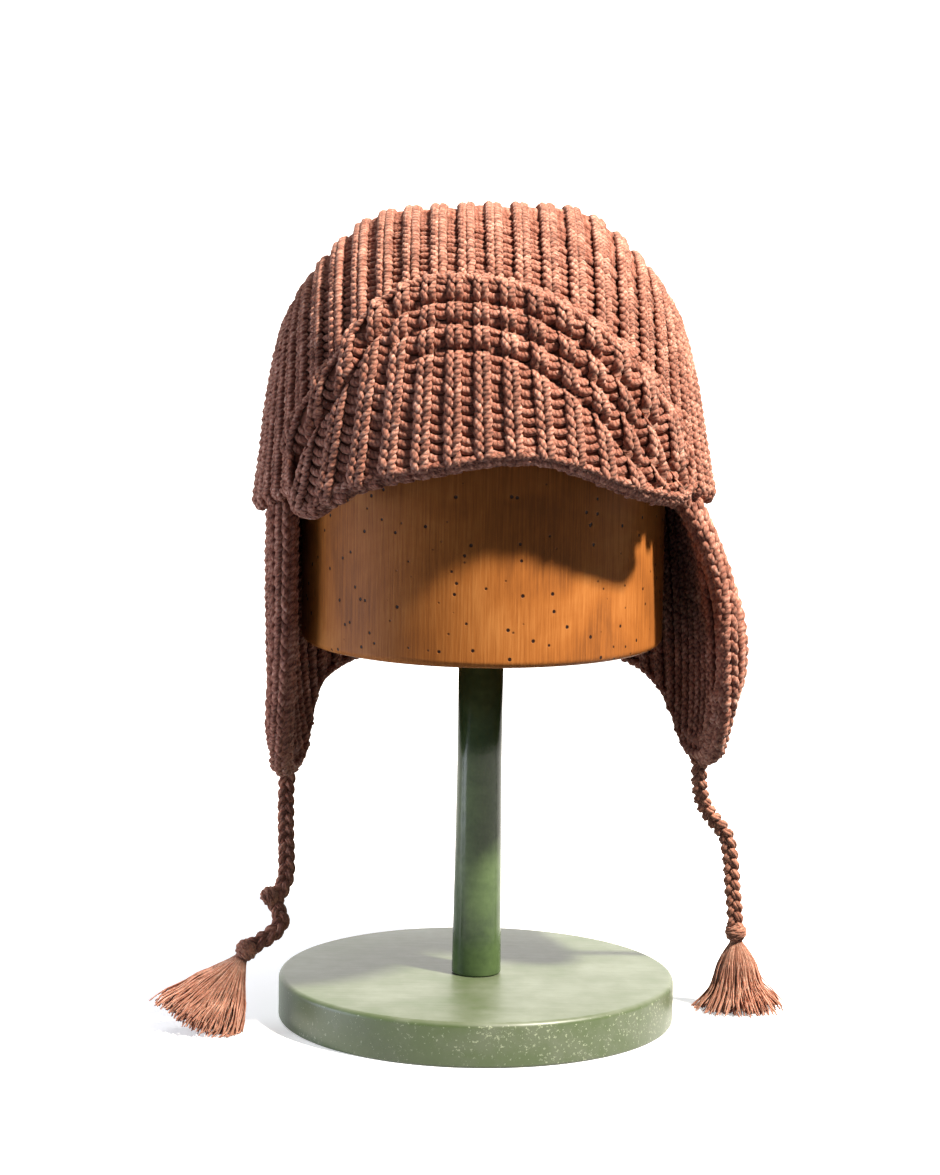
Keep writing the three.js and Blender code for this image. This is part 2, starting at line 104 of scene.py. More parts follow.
PEAK_MIDDLE_Z, PEAK_FAN_REACH, BROW_BETWEEN = 295.0, 40.0, (-84, 88)
PEAK_FAN_RIGHT, PEAK_FAN_LEFT = 0.12, 0.08
PEAK_RIBS_BETWEEN, PEAK_RIB_INSET, SHORTEST_PEAK_RIB = (-78, 83.6), 0.6, 24
PEAK_PAD = dict(ends_in=1.5, low_in=1.4, high_in=1.8, thinnest=1.4, off_crown=0.8)

# Where a rib of the peak rolls round its lower and upper edges: how far in, and how far up
PEAK_ROLL_IN = ((4.6, 1.2), (2.2, -1.4))
PEAK_ROLL_OVER = ((1.8, 1.2), (4.2, 1.0))

# Edge rows of the peak: lift off the crown, inset from the edge, and how they face off the edge and out
PEAK_HEM_ROWS = ((3.2, 0.2, 1.0, 0.3), (6.6, 1.8, 0.75, 1.0))
PEAK_TOP_ROWS = ((2.6, 2.0, 1.0, 0.2), (5.2, 2.8, 0.9, 0.6))
PEAK_ROW_WIDTH = 6.6

# Flap curtain: plan at its top, then its fall and sideways splay by turn from the brow
CURTAIN_HALF_WIDTH, CURTAIN_FRONT, CURTAIN_BACK = 98.0, 108.0, 113.0
CURTAIN_SECTIONS = dict(
    turn=(63, 68, 74, 82, 90, 98, 110, 125, 150, 180, 210, 235, 250, 262, 270, 278, 286, 292, 297),
    fall=(62, 94, 112, 121, 122, 117.5, 102, 88, 79, 77, 79, 87, 99, 113, 118.5, 119, 110, 92, 62),
    splay_middle=(0, 0, 0, 0, -1, -1, -1, 0, 0, 0, 0, 0, 2, 4, 7, 11, 13.5, 16.5, 17.5),
    splay_low=(0, -1, -2, -4, -7, -10, -8, -3, 0, 0, 0, 0, 1, 2, 5, 11, 16, 20.5, 21.5),
)
FIRST_TURN, LAST_TURN = CURTAIN_SECTIONS["turn"][0], CURTAIN_SECTIONS["turn"][-1]
FLAP_WALL = 8.5
FLAP_ROLL = ((2.2, FLAP_WALL - 1.9), (1.0, FLAP_WALL / 2), (2.2, 1.9))
FLAP_LENGTH, LOWEST_DROP, SHORTEST_FLAP_RIB = 120, 130, 8
FLAP_TIPS = (86.0, 275.0)
FLAP_FRONTS = ((FIRST_TURN, FLAP_TIPS[0]), (LAST_TURN, FLAP_TIPS[1]))
TIP_OVERLAP, CORD_SHORT, EDGE_ROW = 9.0, 5.0, 2.0
FLAP_GATHER, GATHER_REACH, GATHER_BEND = 0.6, 80, 1.3
SPLAY_BEND = 0.3
BORDER_WIDTH, TIP_BORDER_LESS, TIP_BELOW, TIP_FADE = 8.8, 2.6, 60, 30
FLAP_RIB_PITCH, RIDGE_CORE_STEP = 13.8, 5.0
RIDGE_CORE_THICK, RIDGE_CORE_SINK, BORDER_CORE_THICK = 4.4, 1.5, 5.4
FLAP_PAD_ENDS_IN, FLAP_PAD_LOW_IN, RIB_END_LIFT, BORDER_BEYOND = 1.4, 2.2, 3.0, 2.0
EDGE_START, WELL_INSIDE = 4, (14.0, 30.0)

# Flap edging: two rows round the front edge, a cord beside it on each face, and the cast-off row below
EDGE_ROLL_TURNS, EDGE_ROLL_INSET, EDGE_ROLL_RADIUS = (-46, 46), 4.0, 3.0
EDGE_CORD_INSET, EDGE_CORD_SINK, EDGE_ROW_WIDTH = 10.4, 0.5, 8.0
ROLL_TAPER, CORD_TAPER = (9, 0.7), (16, 0.45)
CAST_OFF_LIFT, CAST_OFF_WIDTH = 2.4, 8.2
BORDER_CORES = ((3.9, 0), (8.6, -1.6), (8.6, 1.6))

# Ties: the cord's route from flap tip to tassel head
TIE_DIAMETER, TIE_SEWN_IN, KNOT_RUN_IN = 7.6, 4.5, 3.5
TIE_RIGHT_ROUTE = (
    (-87.9, -4, 109.7), (-88.1, -5.5, 102), (-88, -8, 93), (-87.6, -11, 84.5), (-87.2, -14.5, 76),
    (-87, -18, 68.5), (-88.8, -20.5, 62.6), (-91.4, -22, 58.2), (-90.6, -23.5, 53.6), (-88.6, -25, 49.4),
    (-90.2, -27, 45.4), (-94.4, -29, 42), (-99.2, -30.5, 39.2),
)
TIE_LEFT_ROUTE = (
    (100.4, -3, 118.3), (100.9, -0.5, 110), (102.2, 2.5, 103.2), (104.6, 5.5, 97.4), (108, 8, 92.4),
    (111.8, 10, 87.8), (115, 11.5, 82.8), (116.6, 12.5, 76.2), (117.8, 13.3, 67.8), (118.6, 14, 58.5),
    (119.8, 14.5, 49.4), (120.4, 15, 42.6),
)
PLAIT_PITCH, PLAIT_WIDE, PLAIT_DEEP, PLAIT_STEP = 15.5, 2.1, 1.6, 0.8
BUNDLE_YARNS, BUNDLE_RADIUS, BUNDLE_LAY, BUNDLE_SLIM, BUNDLE_SWELL = 5, 0.95, 40.0, 0.85, 0.35
YARN_THICK = 1.8
KNOT_DIAMETER, KNOT_TURNS, KNOT_YARN = 10.4, 4.0, 2.7
KINK_AT, KINK_ASIDE, KINK_AXIS = 7, np.array([-2.6, -1.0, 1.2]), np.array([0.7, 0.3, 0.6])
KINK_RADIUS, KINK_TURNS, KINK_YARN = 4.7, 3.0, 2.4
WINDING_REACH, WINDING_TILTS, WINDING_POINTS = 62, (0.0, 0.55), 26
WINDING_LAY, WINDING_YARNS, WINDING_SPREAD, WINDING_SKEW = 16.0, 4, 0.26, 0.3

# Tassels: a share of the strands strays further than the rest
TASSEL_STRANDS, TASSEL_STRAND_THICK = 780, 0.62
TASSEL_ALONG = (0, 0.09, 0.28, 0.5, 0.7, 0.86, 1)
TASSEL_RIGHT = dict(
    length=36, lean=33, turn=196, width=1.18, depth=0.62,
    half_width=(2.8, 5.0, 8.4, 12.2, 15.2, 17.4, 18.6),
)
TASSEL_LEFT = dict(
    length=31.5, lean=3, turn=10, width=1.1, depth=0.88,
    half_width=(2.6, 5.0, 7.8, 9.4, 12.0, 16.0, 18.8),
)
STRAND_START, STRAND_ENDS, STRAND_POINTS, STRAND_WEIGHTS = -0.12, (0.84, 1.04), 12, (0.7, 1.25)
STRAND_CROWDING, SPREAD_RATE = 0.45, 2.5
STRAYS, STRAY_SHARES, STRAY_BEND = (1.1, 3.2), (0.88, 0.12), 1.5
STRAND_CURL, CURL_TURNS, CURL_STARTS, LOWEST_STRAND = 0.75, (6, 17), (0, 6), 0.7

# Stand
BASE_DIAMETER, BASE_HEIGHT, BASE_ROUNDING, BASE_UNDER_ROUNDING = 182.0, 20.0, 2.5, 1.2
POST_DIAMETER, FOOT_DIAMETER, FOOT_ROUNDING = 20.5, 22.6, 0.6
TAPER_BOTTOM, TAPER_TOP = 22.3, 120.0
BLOCK_BOTTOM, BLOCK_TOP, BLOCK_ROUNDING, BLOCK_DEPTH_RATIO = 176.0, 363.4, 2.8, 1.22
BLOCK_PROFILE = dict(
    z=(176, 178, 290, 312, 330, 345, 356, 362, 363.4),
    half_width=(80.5, 82, 82, 78.5, 70, 57, 38, 18, 0),
)
FLAT_MIDDLE = 60
GAP = 0.3

# Paper sweep, in metres: where it starts, where it turns up and how tightly, its height and half width
SWEEP_FRONT, SWEEP_BACK, SWEEP_RADIUS, SWEEP_HEIGHT, SWEEP_HALF_WIDTH = -3.0, 1.2, 0.8, 4.0, 4.0
SWEEP_BELOW = 0.05 * MM


def linear(code):
    """An sRGB hex colour as linear RGBA."""
    parts = [int(code[i:i + 2], 16) / 255 for i in (1, 3, 5)]
    return (*[c / 12.92 if c <= 0.04045 else ((c + 0.055) / 1.055) ** 2.4 for c in parts], 1.0)


def add_node(tree, kind, feeds=None, **settings):
    """One node with its settings; each input is fed a value, an output or a node's first output."""
    node = tree.nodes.new(kind)
    for name, value in settings.items():
        setattr(node, name, value)
    for socket, source in (feeds or {}).items():
        if isinstance(source, bpy.types.Node):
            source = source.outputs[0]
        if isinstance(source, bpy.types.NodeSocket):
            tree.links.new(source, node.inputs[socket])
        else:
            node.inputs[socket].default_value = source
    return node


def maths(tree, operation, *terms):
    """One step of arithmetic on outputs and values."""
    return add_node(tree, "ShaderNodeMath", dict(enumerate(terms)), operation=operation)


def weighted_sum(tree, *terms):
    """Sum of outputs, each times its weight."""
    total = 0.0
    for source, weight in terms:
        total = maths(tree, "MULTIPLY_ADD", source, weight, total)
    return total


def ranged(tree, value, low, high, start, end):
    """A value between low and high taken to one between start and end."""
    feeds = {"Value": value, "From Min": low, "From Max": high, "To Min": start, "To Max": end}
    return add_node(tree, "ShaderNodeMapRange", feeds)


def noise(tree, place, size, **settings):
    """Noise in patches of a size in millimetres."""
    return add_node(tree, "ShaderNodeTexNoise", {"Vector": place, "Scale": 1 / (size * MM), **settings})


def tinted(tree, share, colour, code):
    """A colour mixed by a share with a hex colour."""
    feeds = {0: share, 6: colour, 7: linear(code)}
    return add_node(tree, "ShaderNodeMix", feeds, data_type="RGBA").outputs[2]


def named(tree, name, kind="FLOAT"):
    """What lines say of themselves under a name."""
    return add_node(tree, "GeometryNodeInputNamedAttribute", {"Name": name}, data_type=kind)


def new_material(name, **values):
    """A material with its shader's even values set on their own sockets."""
    material = bpy.data.materials.new(name)
    material.use_nodes = True
    shader = material.node_tree.nodes["Principled BSDF"]
    for socket, value in values.items():
        shader.inputs[socket.replace("_", " ").title().replace("Ior", "IOR")].default_value = value
    return material, material.node_tree, shader


def colour_ramp(tree, factor, *stops):
    """Colours by factor, each stop a place and a hex colour."""
    ramp = add_node(tree, "ShaderNodeValToRGB", {"Fac": factor})
    while len(ramp.color_ramp.elements) < len(stops):
        ramp.color_ramp.elements.new(0.5)
    for element, (place, code) in zip(ramp.color_ramp.elements, stops):
        element.position = place
        element.color = linear(code)
    return ramp.outputs["Color"]


def dress(tree, shader, colour, height, strength, depth):
    """Gives a shader its colour and a bump of some depth."""
    bump = add_node(tree, "ShaderNodeBump", {"Strength": strength, "Distance": depth * MM, "Height": height})
    tree.links.new(colour, shader.inputs["Base Color"])
    tree.links.new(bump.outputs[0], shader.inputs["Normal"])


def heather_yarn(name, deep, main, pale, sheen):
    """Plied heather yarn: matt and fuzzy, flecked pale and dark, with the turns of its plies showing."""
    material, tree, shader = new_material(
        name, roughness=0.92, sheen_weight=sheen, sheen_roughness=0.55, sheen_tint=linear("#f0cdb6"),
        specular_ior_level=0.2, subsurface_weight=0.4, subsurface_radius=(1.0, 0.5, 0.35),
        subsurface_scale=1.4 * MM,
    )
    place = add_node(tree, "ShaderNodeTexCoord").outputs["Object"]
    patches = noise(tree, place, 5, Detail=2.0)
    flecks = noise(tree, place, 1.1, Detail=3.0)
    tone = add_node(tree, "ShaderNodeAttribute", attribute_name="tone").outputs["Fac"]
    # Fibres about 4 mm long and 0.3 mm wide, turning round the yarn as they run along it
    on_yarn = add_node(tree, "ShaderNodeUVMap", uv_map="along_yarn")
    run, turn, _ = add_node(tree, "ShaderNodeSeparateXYZ", {0: on_yarn}).outputs
    stretched = weighted_sum(tree, (run, 2.5))
    wound = weighted_sum(tree, (run, 22.0), (turn, 24.0))
    fibre_place = add_node(tree, "ShaderNodeCombineXYZ", {0: stretched, 1: wound})
    drifted = add_node(
        tree, "ShaderNodeVectorMath", {0: place, 1: (150.0, 150.0, 150.0), 2: fibre_place},
        operation="MULTIPLY_ADD",
    )
    fibres = add_node(tree, "ShaderNodeTexNoise", {"Vector": drifted, "Scale": 1.0, "Detail": 2.0})
    # Two plies with a turn every 4 mm, so that a dark line crosses the yarn every 2 mm: painted shade in the
    # groove between the plies, which the bump also follows
    lay = weighted_sum(tree, (turn, 2 * math.pi), (run, math.pi * YARN_PER_UV / PLY_LINE_STEP))
    plies = maths(tree, "ABSOLUTE", maths(tree, "SINE", lay))
    blend = weighted_sum(tree, (patches, 0.3), (flecks, 0.34), (fibres, 0.3), (tone, 0.06), (plies, 0.15))
    colour = colour_ramp(tree, blend, (0.42, deep), (0.61, main), (0.8, pale))
    # Painted shade: yarn deep in a groove or a tuck is coloured darker, as if lying in shade
    painted_depth_shade = add_node(tree, "ShaderNodeAttribute", attribute_name="painted_depth_shade").outputs["Fac"]
    shaded = tinted(tree, painted_depth_shade, colour, "#7c4432")
    dress(tree, shader, shaded, weighted_sum(tree, (fibres, 1.0), (plies, 0.6)), 0.8, 0.6)
    return material


rib_yarn = heather_yarn("heather_wool_yarn", "#5c382e", "#a8725e", "#dcb09c", 0.2)
# The ground yarn is darker than the ribs: painted shade for the gaps between stitches, where it shows
ground_yarn = heather_yarn("felted_ground_painted_gap_shade", "#5c3325", "#804e3b", "#9a6853", 0.05)
cord_yarn = heather_yarn("plaited_wool_cord", "#7a5040", "#b9826a", "#deb098", 0.25)
tassel_yarn = heather_yarn("unravelled_tassel_strands", "#94614c", "#cb967e", "#ecc2aa", 0.3)


def worn_beech():
    """Old oiled beech: satin orange brown with upright grain, darker smears and black worm holes."""
    material, tree, shader = new_material("worn_oiled_beech", roughness=0.5, specular_ior_level=0.08)
    place = add_node(tree, "ShaderNodeTexCoord").outputs["Object"]
    upright = add_node(tree, "ShaderNodeMapping", {"Vector": place, "Scale": (1.0, 1.0, 0.035)})
    grain = noise(tree, upright, 0.9, Detail=4.0, Roughness=0.62)
    smears = noise(tree, place, 46, Detail=4.0, Distortion=0.8)
    blend = weighted_sum(tree, (smears, 0.55), (grain, 0.45))
    colour = colour_ramp(tree, blend, (0.36, "#78461f"), (0.5, "#985b28"), (0.64, "#ae7038"))
    # Worm holes up to 1.3 mm across, about 7 mm apart through the wood
    holes = add_node(tree, "ShaderNodeTexVoronoi", {"Vector": place, "Scale": 1 / (6.4 * MM)})
    hole = ranged(tree, holes, 0.10, 0.15, 1.0, 0.0)
    bored = tinted(tree, hole, colour, "#1d0d06")
    dress(tree, shader, bored, weighted_sum(tree, (grain, 1.0), (hole, -2.0)), 0.5, 0.25)
    return material


def brushed_paint(name, deep, main, pale, roughness, gloss, chips, worn_and_shaded_below):
    """Brushed oil paint with faint strokes, thin places and pale chips, most of them on the side, which
    shows wear and is also coloured darker as painted shade.
    """
    material, tree, shader = new_material(name, roughness=roughness, specular_ior_level=gloss)
    place = add_node(tree, "ShaderNodeTexCoord").outputs["Object"]
    brushed = add_node(
        tree, "ShaderNodeMapping", {"Vector": place, "Scale": (0.09, 1.0, 0.6), "Rotation": (0, 0, 0.4)},
    )
    strokes = noise(tree, brushed, 2.2, Detail=3.0)
    clouds = noise(tree, place, 30, Detail=6.0, Roughness=0.6)
    height = add_node(tree, "ShaderNodeSeparateXYZ", {0: place}).outputs["Z"]
    # Below a height, on the side: the paint is coloured darker as painted shade, and chips more from wear
    worn_and_shaded_side = ranged(tree, height, (worn_and_shaded_below - 1.2) * MM, worn_and_shaded_below * MM, 1.0, 0.0)
    blend = weighted_sum(tree, (clouds, 0.88), (strokes, 0.12), (worn_and_shaded_side, -0.16))
    colour = colour_ramp(tree, blend, (0.32, deep), (0.5, main), (0.68, pale))
    knocks = noise(tree, place, 1.5, Detail=5.0, Roughness=0.7)
    thin = maths(tree, "MULTIPLY_ADD", clouds, 0.3, -0.05)
    knocked = maths(tree, "MULTIPLY_ADD", worn_and_shaded_side, thin, knocks)
    chip = ranged(tree, knocked, chips, chips + 0.03, 0.0, 1.0)
    chipped = tinted(tree, chip, colour, "#99a284")
    dress(tree, shader, chipped, weighted_sum(tree, (strokes, 1.0), (chip, -0.8)), 0.22, 0.4)
    return material


block_wood = worn_beech()
base_paint = brushed_paint(
    "sage_oil_paint", "#4b5a36", "#5f6850", "#717965", 0.42, 0.5, 0.71, BASE_HEIGHT - 0.4,
)
post_paint = brushed_paint("bottle_green_enamel", "#35452b", "#495c37", "#5e7247", 0.2, 0.2, 0.82, 0.0)
studio_floor, _, _ = new_material(
    "matt_white_paper", base_color=linear("#f4f4f2"), roughness=0.9,
    emission_color=linear("#ffffff"), emission_strength=0.45,
)


def smooth_read(x, y, at):
    """Monotone cubic through a table's column y against its column x."""
    x, y = np.asarray(x, float), np.asarray(y, float)
    step = np.diff(x)
    rise = np.diff(y) / step
    before, after = 2 * step[1:] + step[:-1], step[1:] + 2 * step[:-1]
    same_way = rise[:-1] * rise[1:] > 0
    safe = np.where(rise == 0, 1.0, rise)
    tilt = np.where(same_way, before / safe[:-1] + after / safe[1:], 1.0)
    slope = np.zeros_like(y)
    slope[0], slope[-1] = rise[0], rise[-1]
    slope[1:-1] = np.where(same_way, (before + after) / tilt, 0)
    t = np.clip(at, x[0], x[-1])
    i = np.clip(np.searchsorted(x, t) - 1, 0, len(step) - 1)
    s = (t - x[i]) / step[i]
    r = 1 - s
    start = (1 + 2 * s) * r * r * y[i] + s * r * r * step[i] * slope[i]
    return start + s * s * (3 - 2 * s) * y[i + 1] - s * s * r * step[i] * slope[i + 1]


def unit(v):
    return v / np.maximum(np.linalg.norm(v, axis=-1, keepdims=True), 1e-9)


def signed_power(t, n):
    return np.sign(t) * np.abs(t) ** n


def drooped(p):
    """The whole hat sits lower on the wearer's right, and its crown leans that way."""
    lean = -SIDE_DROOP * np.maximum(p[..., 2] - LEAN_ABOVE, 0)
    return p + np.stack([lean, 0 * lean, SIDE_DROOP * p[..., 0]], -1)


def undrooped(p):
    """The hat's own place for a point of the drooped hat."""
    x, y, z = np.moveaxis(p, -1, 0)
    own_x, own_z = x, z
    for _ in range(3):
        own_x, own_z = x + SIDE_DROOP * np.maximum(own_z - LEAN_ABOVE, 0), z - SIDE_DROOP * own_x
    return np.stack([own_x, y, own_z], -1)


def run_length(points):
    """Length run along a line at each of its points."""
    return np.concatenate([[0], np.cumsum(np.linalg.norm(np.diff(points, axis=0), axis=1))])


def read_line(at, length, values):
    """Three-part values of a line at lengths along it."""
    return np.stack([np.interp(at, length, column) for column in values.T], -1)


def eased(line, times):
    """A line with its kinks smoothed and its ends kept."""
    for _ in range(times):
        line[1:-1] = 0.25 * line[:-2] + 0.5 * line[1:-1] + 0.25 * line[2:]
    return line


def width_across(gap, along):
    """Length of a gap square to a direction."""
    return np.linalg.norm(gap - (gap * along).sum(-1, keepdims=True) * along, axis=-1)


def new_object(name, data):
    """An object in the scene, for a mesh, a camera or a lamp."""
    thing = bpy.data.objects.new(name, data)
    scene.collection.objects.link(thing)
    return thing


def new_piece(name, points, faces, material=None):
    """A smooth mesh object from points in millimetres."""
    mesh = bpy.data.meshes.new(name)
    places = np.asarray(points, float).reshape(-1, 3) * MM
    mesh.from_pydata(places.tolist(), [], [list(map(int, face)) for face in faces])
    mesh.shade_smooth()
    if material:
        mesh.materials.append(material)
    return new_object(name, mesh)


def closed_up(piece, nearest=0.02):
    """Merges doubled points and turns every face outwards."""
    work = bmesh.new()
    work.from_mesh(piece.data)
    bmesh.ops.remove_doubles(work, verts=work.verts, dist=nearest * MM)
    bmesh.ops.dissolve_degenerate(work, edges=work.edges, dist=1e-7)
    bmesh.ops.recalc_face_normals(work, faces=work.faces)
    work.to_mesh(piece.data)
    work.free()
    piece.data.shade_smooth()
    return piece


def own_points(piece):
    """A piece's points in millimetres, as they lie before the hat droops."""
    points = np.empty(3 * len(piece.data.vertices), np.float32)
    piece.data.vertices.foreach_get("co", points)
    return undrooped(points.reshape(-1, 3).astype(float) / MM)


def set_own_points(piece, points):
    """Moves a piece's points, given as they lie before the hat droops."""
    piece.data.vertices.foreach_set("co", (drooped(points) * MM).astype(np.float32).ravel())
    piece.data.update()


def grid_faces(rows, columns, wrap=False):
    """Quads between neighbouring rows of points."""
    j, i = np.meshgrid(np.arange(rows - 1), np.arange(columns if wrap else columns - 1), indexing="ij")
    a = j * columns + i
    b = j * columns + (i + 1) % columns
    return np.stack([a, b, b + columns, a + columns], -1).reshape(-1, 4).tolist()


def felt_pad(name, front, back):
    """A felted pad between a front and a back grid of points, closed all round."""
    columns, rows = front.shape[:2]
    faces = grid_faces(columns, 2 * rows, wrap=True)
    for first in (0, (columns - 1) * 2 * rows):
        last = first + 2 * rows - 1
        faces += [[first + i, first + i + 1, last - i - 1, last - i] for i in range(rows - 1)]
    return closed_up(new_piece(name, np.concatenate([front, back[:, ::-1]], axis=1), faces, ground_yarn))


def grown(name, source, tree, values):
    """Runs a node tree on a piece and keeps what it makes as a plain mesh."""
    modifier = source.modifiers.new(tree.name, "NODES")
    modifier.node_group = tree
    sockets = {s.name: s.identifier for s in tree.interface.items_tree if s.in_out == "INPUT"}
    for key, value in values.items():
        modifier[sockets[key]] = value
    graph = bpy.context.evaluated_depsgraph_get()
    made = source.evaluated_get(graph)
    mesh = bpy.data.meshes.new_from_object(made, preserve_all_data_layers=True, depsgraph=graph)
    mesh.name = name
    bpy.data.objects.remove(source)
    return new_object(name, mesh)


def new_tree(name, **inputs):
    """An empty geometry node tree with named inputs."""
    tree = bpy.data.node_groups.new(name, "GeometryNodeTree")
    for key, kind in inputs.items():
        tree.interface.new_socket(key.replace("_", " "), in_out="INPUT", socket_type="NodeSocket" + kind)
    tree.interface.new_socket("Mesh", in_out="OUTPUT", socket_type="NodeSocketGeometry")
    return tree, add_node(tree, "NodeGroupInput").outputs


def end_tree(tree, geometry, material):
    """Ends a tree in a plain, smooth mesh with its material."""
    plain = add_node(tree, "GeometryNodeRealizeInstances", {0: geometry})
    smooth = add_node(tree, "GeometryNodeSetShadeSmooth", {0: plain})
    dressed = add_node(tree, "GeometryNodeSetMaterial", {0: smooth, "Material": material})
    add_node(tree, "NodeGroupOutput", {0: dressed})


def stitch_tree():
    """Sets one stitch after another along rib lines, standing on the surface and as wide as the rib."""
    tree, given = new_tree(
        "stitches_along_ribs", Rib_lines="Geometry", Stitch="Object", Stitch_pitch="Float",
        Stitch_length="Float", Stitch_width="Float", Relief="Float", Wobble="Float", Unevenness="Float",
        Seed="Int", Yarn="Material",
    )
    curves = add_node(tree, "GeometryNodeMeshToCurve", {0: given["Rib lines"]})
    # A whole number of stitches on each rib
    length = add_node(tree, "GeometryNodeSplineLength")
    pitches = maths(tree, "DIVIDE", length, given["Stitch pitch"])
    whole = maths(tree, "ROUND", pitches)
    steps = maths(tree, "MAXIMUM", whole, 1.0)
    count = maths(tree, "ADD", steps, 1.0)
    places = add_node(tree, "GeometryNodeResampleCurve", {"Curve": curves, "Count": count}, mode="COUNT")
    # Each stitch stands on the surface, runs along the rib and tilts a little
    out = named(tree, "out", "FLOAT_VECTOR")
    tangent = add_node(tree, "GeometryNodeInputTangent")
    stood = add_node(tree, "FunctionNodeAlignRotationToVector", {"Vector": out}, axis="Z")
    turned = add_node(
        tree, "FunctionNodeAlignRotationToVector", {"Rotation": stood, "Vector": tangent},
        axis="Y", pivot_axis="Z",
    )
    less = maths(tree, "MULTIPLY", given["Wobble"], -1.0)
    tilt = add_node(
        tree, "FunctionNodeRandomValue", {0: less, 1: given["Wobble"], "Seed": given["Seed"]},
        data_type="FLOAT_VECTOR",
    )
    tilt_turn = add_node(tree, "FunctionNodeEulerToRotation", {0: tilt})
    tilted = add_node(tree, "FunctionNodeRotateRotation", {0: turned, 1: tilt_turn}, rotation_space="LOCAL")
    # It is as wide as the rib, higher on a wide rib, fills its share of the length, and is a little uneven
    width = named(tree, "rib_width")
    across = maths(tree, "DIVIDE", width, given["Stitch width"])
    spacing = maths(tree, "DIVIDE", length, steps)
    stretch = maths(tree, "DIVIDE", spacing, given["Stitch length"])
    deep = maths(tree, "MULTIPLY_ADD", across, 0.45, 0.55)
    raised = maths(tree, "MULTIPLY", deep, given["Relief"])
    size = add_node(tree, "ShaderNodeCombineXYZ", {0: across, 1: stretch, 2: raised})
    small = maths(tree, "SUBTRACT", 1.0, given["Unevenness"])
    large = maths(tree, "ADD", 1.0, given["Unevenness"])
    uneven = add_node(
        tree, "FunctionNodeRandomValue", {0: small, 1: large, "Seed": given["Seed"]},
        data_type="FLOAT_VECTOR",
    )
    sized = add_node(tree, "ShaderNodeVectorMath", {0: size, 1: uneven}, operation="MULTIPLY")
    stitch = add_node(tree, "GeometryNodeObjectInfo", {"Object": given["Stitch"]}).outputs["Geometry"]
    laid = add_node(
        tree, "GeometryNodeInstanceOnPoints",
        {"Points": places, "Instance": stitch, "Rotation": tilted, "Scale": sized},
    )
    shade = add_node(
        tree, "FunctionNodeRandomValue", {2: -1.0, 3: 1.0, "Seed": given["Seed"]}, data_type="FLOAT",
    )
    toned = add_node(
        tree, "GeometryNodeStoreNamedAttribute", {0: laid, "Name": "tone", "Value": shade.outputs[1]},
        data_type="FLOAT", domain="INSTANCE",
    )
    end_tree(tree, toned, given["Yarn"])
    return tree


def strand_tree():
    """Lays a round strand along each line, as thick as the line says."""
    tree, given = new_tree(
        "strands_along_lines", Lines="Geometry", Thickness="Float", Sides="Int", Yarn="Material",
    )
    curves = add_node(tree, "GeometryNodeMeshToCurve", {0: given["Lines"]})
    shade = named(tree, "tone")
    taper = named(tree, "rib_width")
    half = maths(tree, "MULTIPLY", given["Thickness"], 0.5)
    ring = add_node(tree, "GeometryNodeCurvePrimitiveCircle", {"Resolution": given["Sides"], "Radius": half})
    toned = add_node(
        tree, "GeometryNodeStoreNamedAttribute", {0: curves, "Name": "tone", "Value": shade},
        data_type="FLOAT", domain="POINT",
    )
    swept = add_node(
        tree, "GeometryNodeCurveToMesh",
        {"Curve": toned, "Profile Curve": ring, "Scale": taper, "Fill Caps": True},
    )
    end_tree(tree, swept, given["Yarn"])
    return tree


def drawn_lines(name, lines):
    """Lines as an edge mesh; each line is its points, the way out of the surface and the rib's width."""
    mesh = bpy.data.meshes.new(name)
    points, out, width = (np.concatenate(column) for column in zip(*lines))
    sizes = [len(line[0]) for line in lines]
    starts = np.cumsum([0] + sizes[:-1])
    edges = [(a + i, a + i + 1) for a, n in zip(starts, sizes) for i in range(n - 1)]
    mesh.from_pydata((points * MM).tolist(), edges, [])
    tone = np.repeat(chance.uniform(-1, 1, len(sizes)), sizes)
    for key, kind, field, values in (
        ("out", "FLOAT_VECTOR", "vector", out), ("rib_width", "FLOAT", "value", width),
        ("tone", "FLOAT", "value", tone),
    ):
        mesh.attributes.new(key, kind, "POINT").data.foreach_set(field, values.astype(np.float32).ravel())
    return new_object(name, mesh)


def yarn_leg(points, radii, rings, sides=5):
    """A plump leg of yarn through some points: vertices, faces, each corner's place along and around it."""
    known = np.arange(len(radii))
    at = np.linspace(0, known[-1], rings)
    points = np.stack([smooth_read(known, column, at) for column in np.transpose(points)], -1)
    radii = smooth_read(known, radii, at)
    along = unit(np.gradient(points, axis=0))
    across = unit(np.cross(along, UP))
    lift = np.cross(across, along)
    turn = np.arange(sides) * 2 * math.pi / sides
    hoops = points[:, None] + radii[:, None, None] * (
        np.cos(turn)[None, :, None] * across[:, None] + np.sin(turn)[None, :, None] * lift[:, None]
    )
    tips = [points[0] - 0.6 * radii[0] * along[0], points[-1] + 0.6 * radii[-1] * along[-1]]
    vertices = [*hoops.reshape(-1, 3), *tips]
    reach = run_length(points) / YARN_PER_UV
    faces, along_yarn = [], []
    last = len(points) - 1
    for i in range(sides):
        k = (i + 1) % sides
        low, high = i / sides, (i + 1) / sides
        for j in range(last):
            faces.append([j * sides + i, (j + 1) * sides + i, (j + 1) * sides + k, j * sides + k])
            along_yarn += [(reach[j], low), (reach[j + 1], low), (reach[j + 1], high), (reach[j], high)]
        faces.append([len(vertices) - 2, i, k])
        along_yarn += [(reach[0], low), (reach[0], low), (reach[0], high)]
        faces.append([len(vertices) - 1, last * sides + k, last * sides + i])
        along_yarn += [(reach[-1], low), (reach[-1], high), (reach[-1], low)]
    return vertices, faces, along_yarn


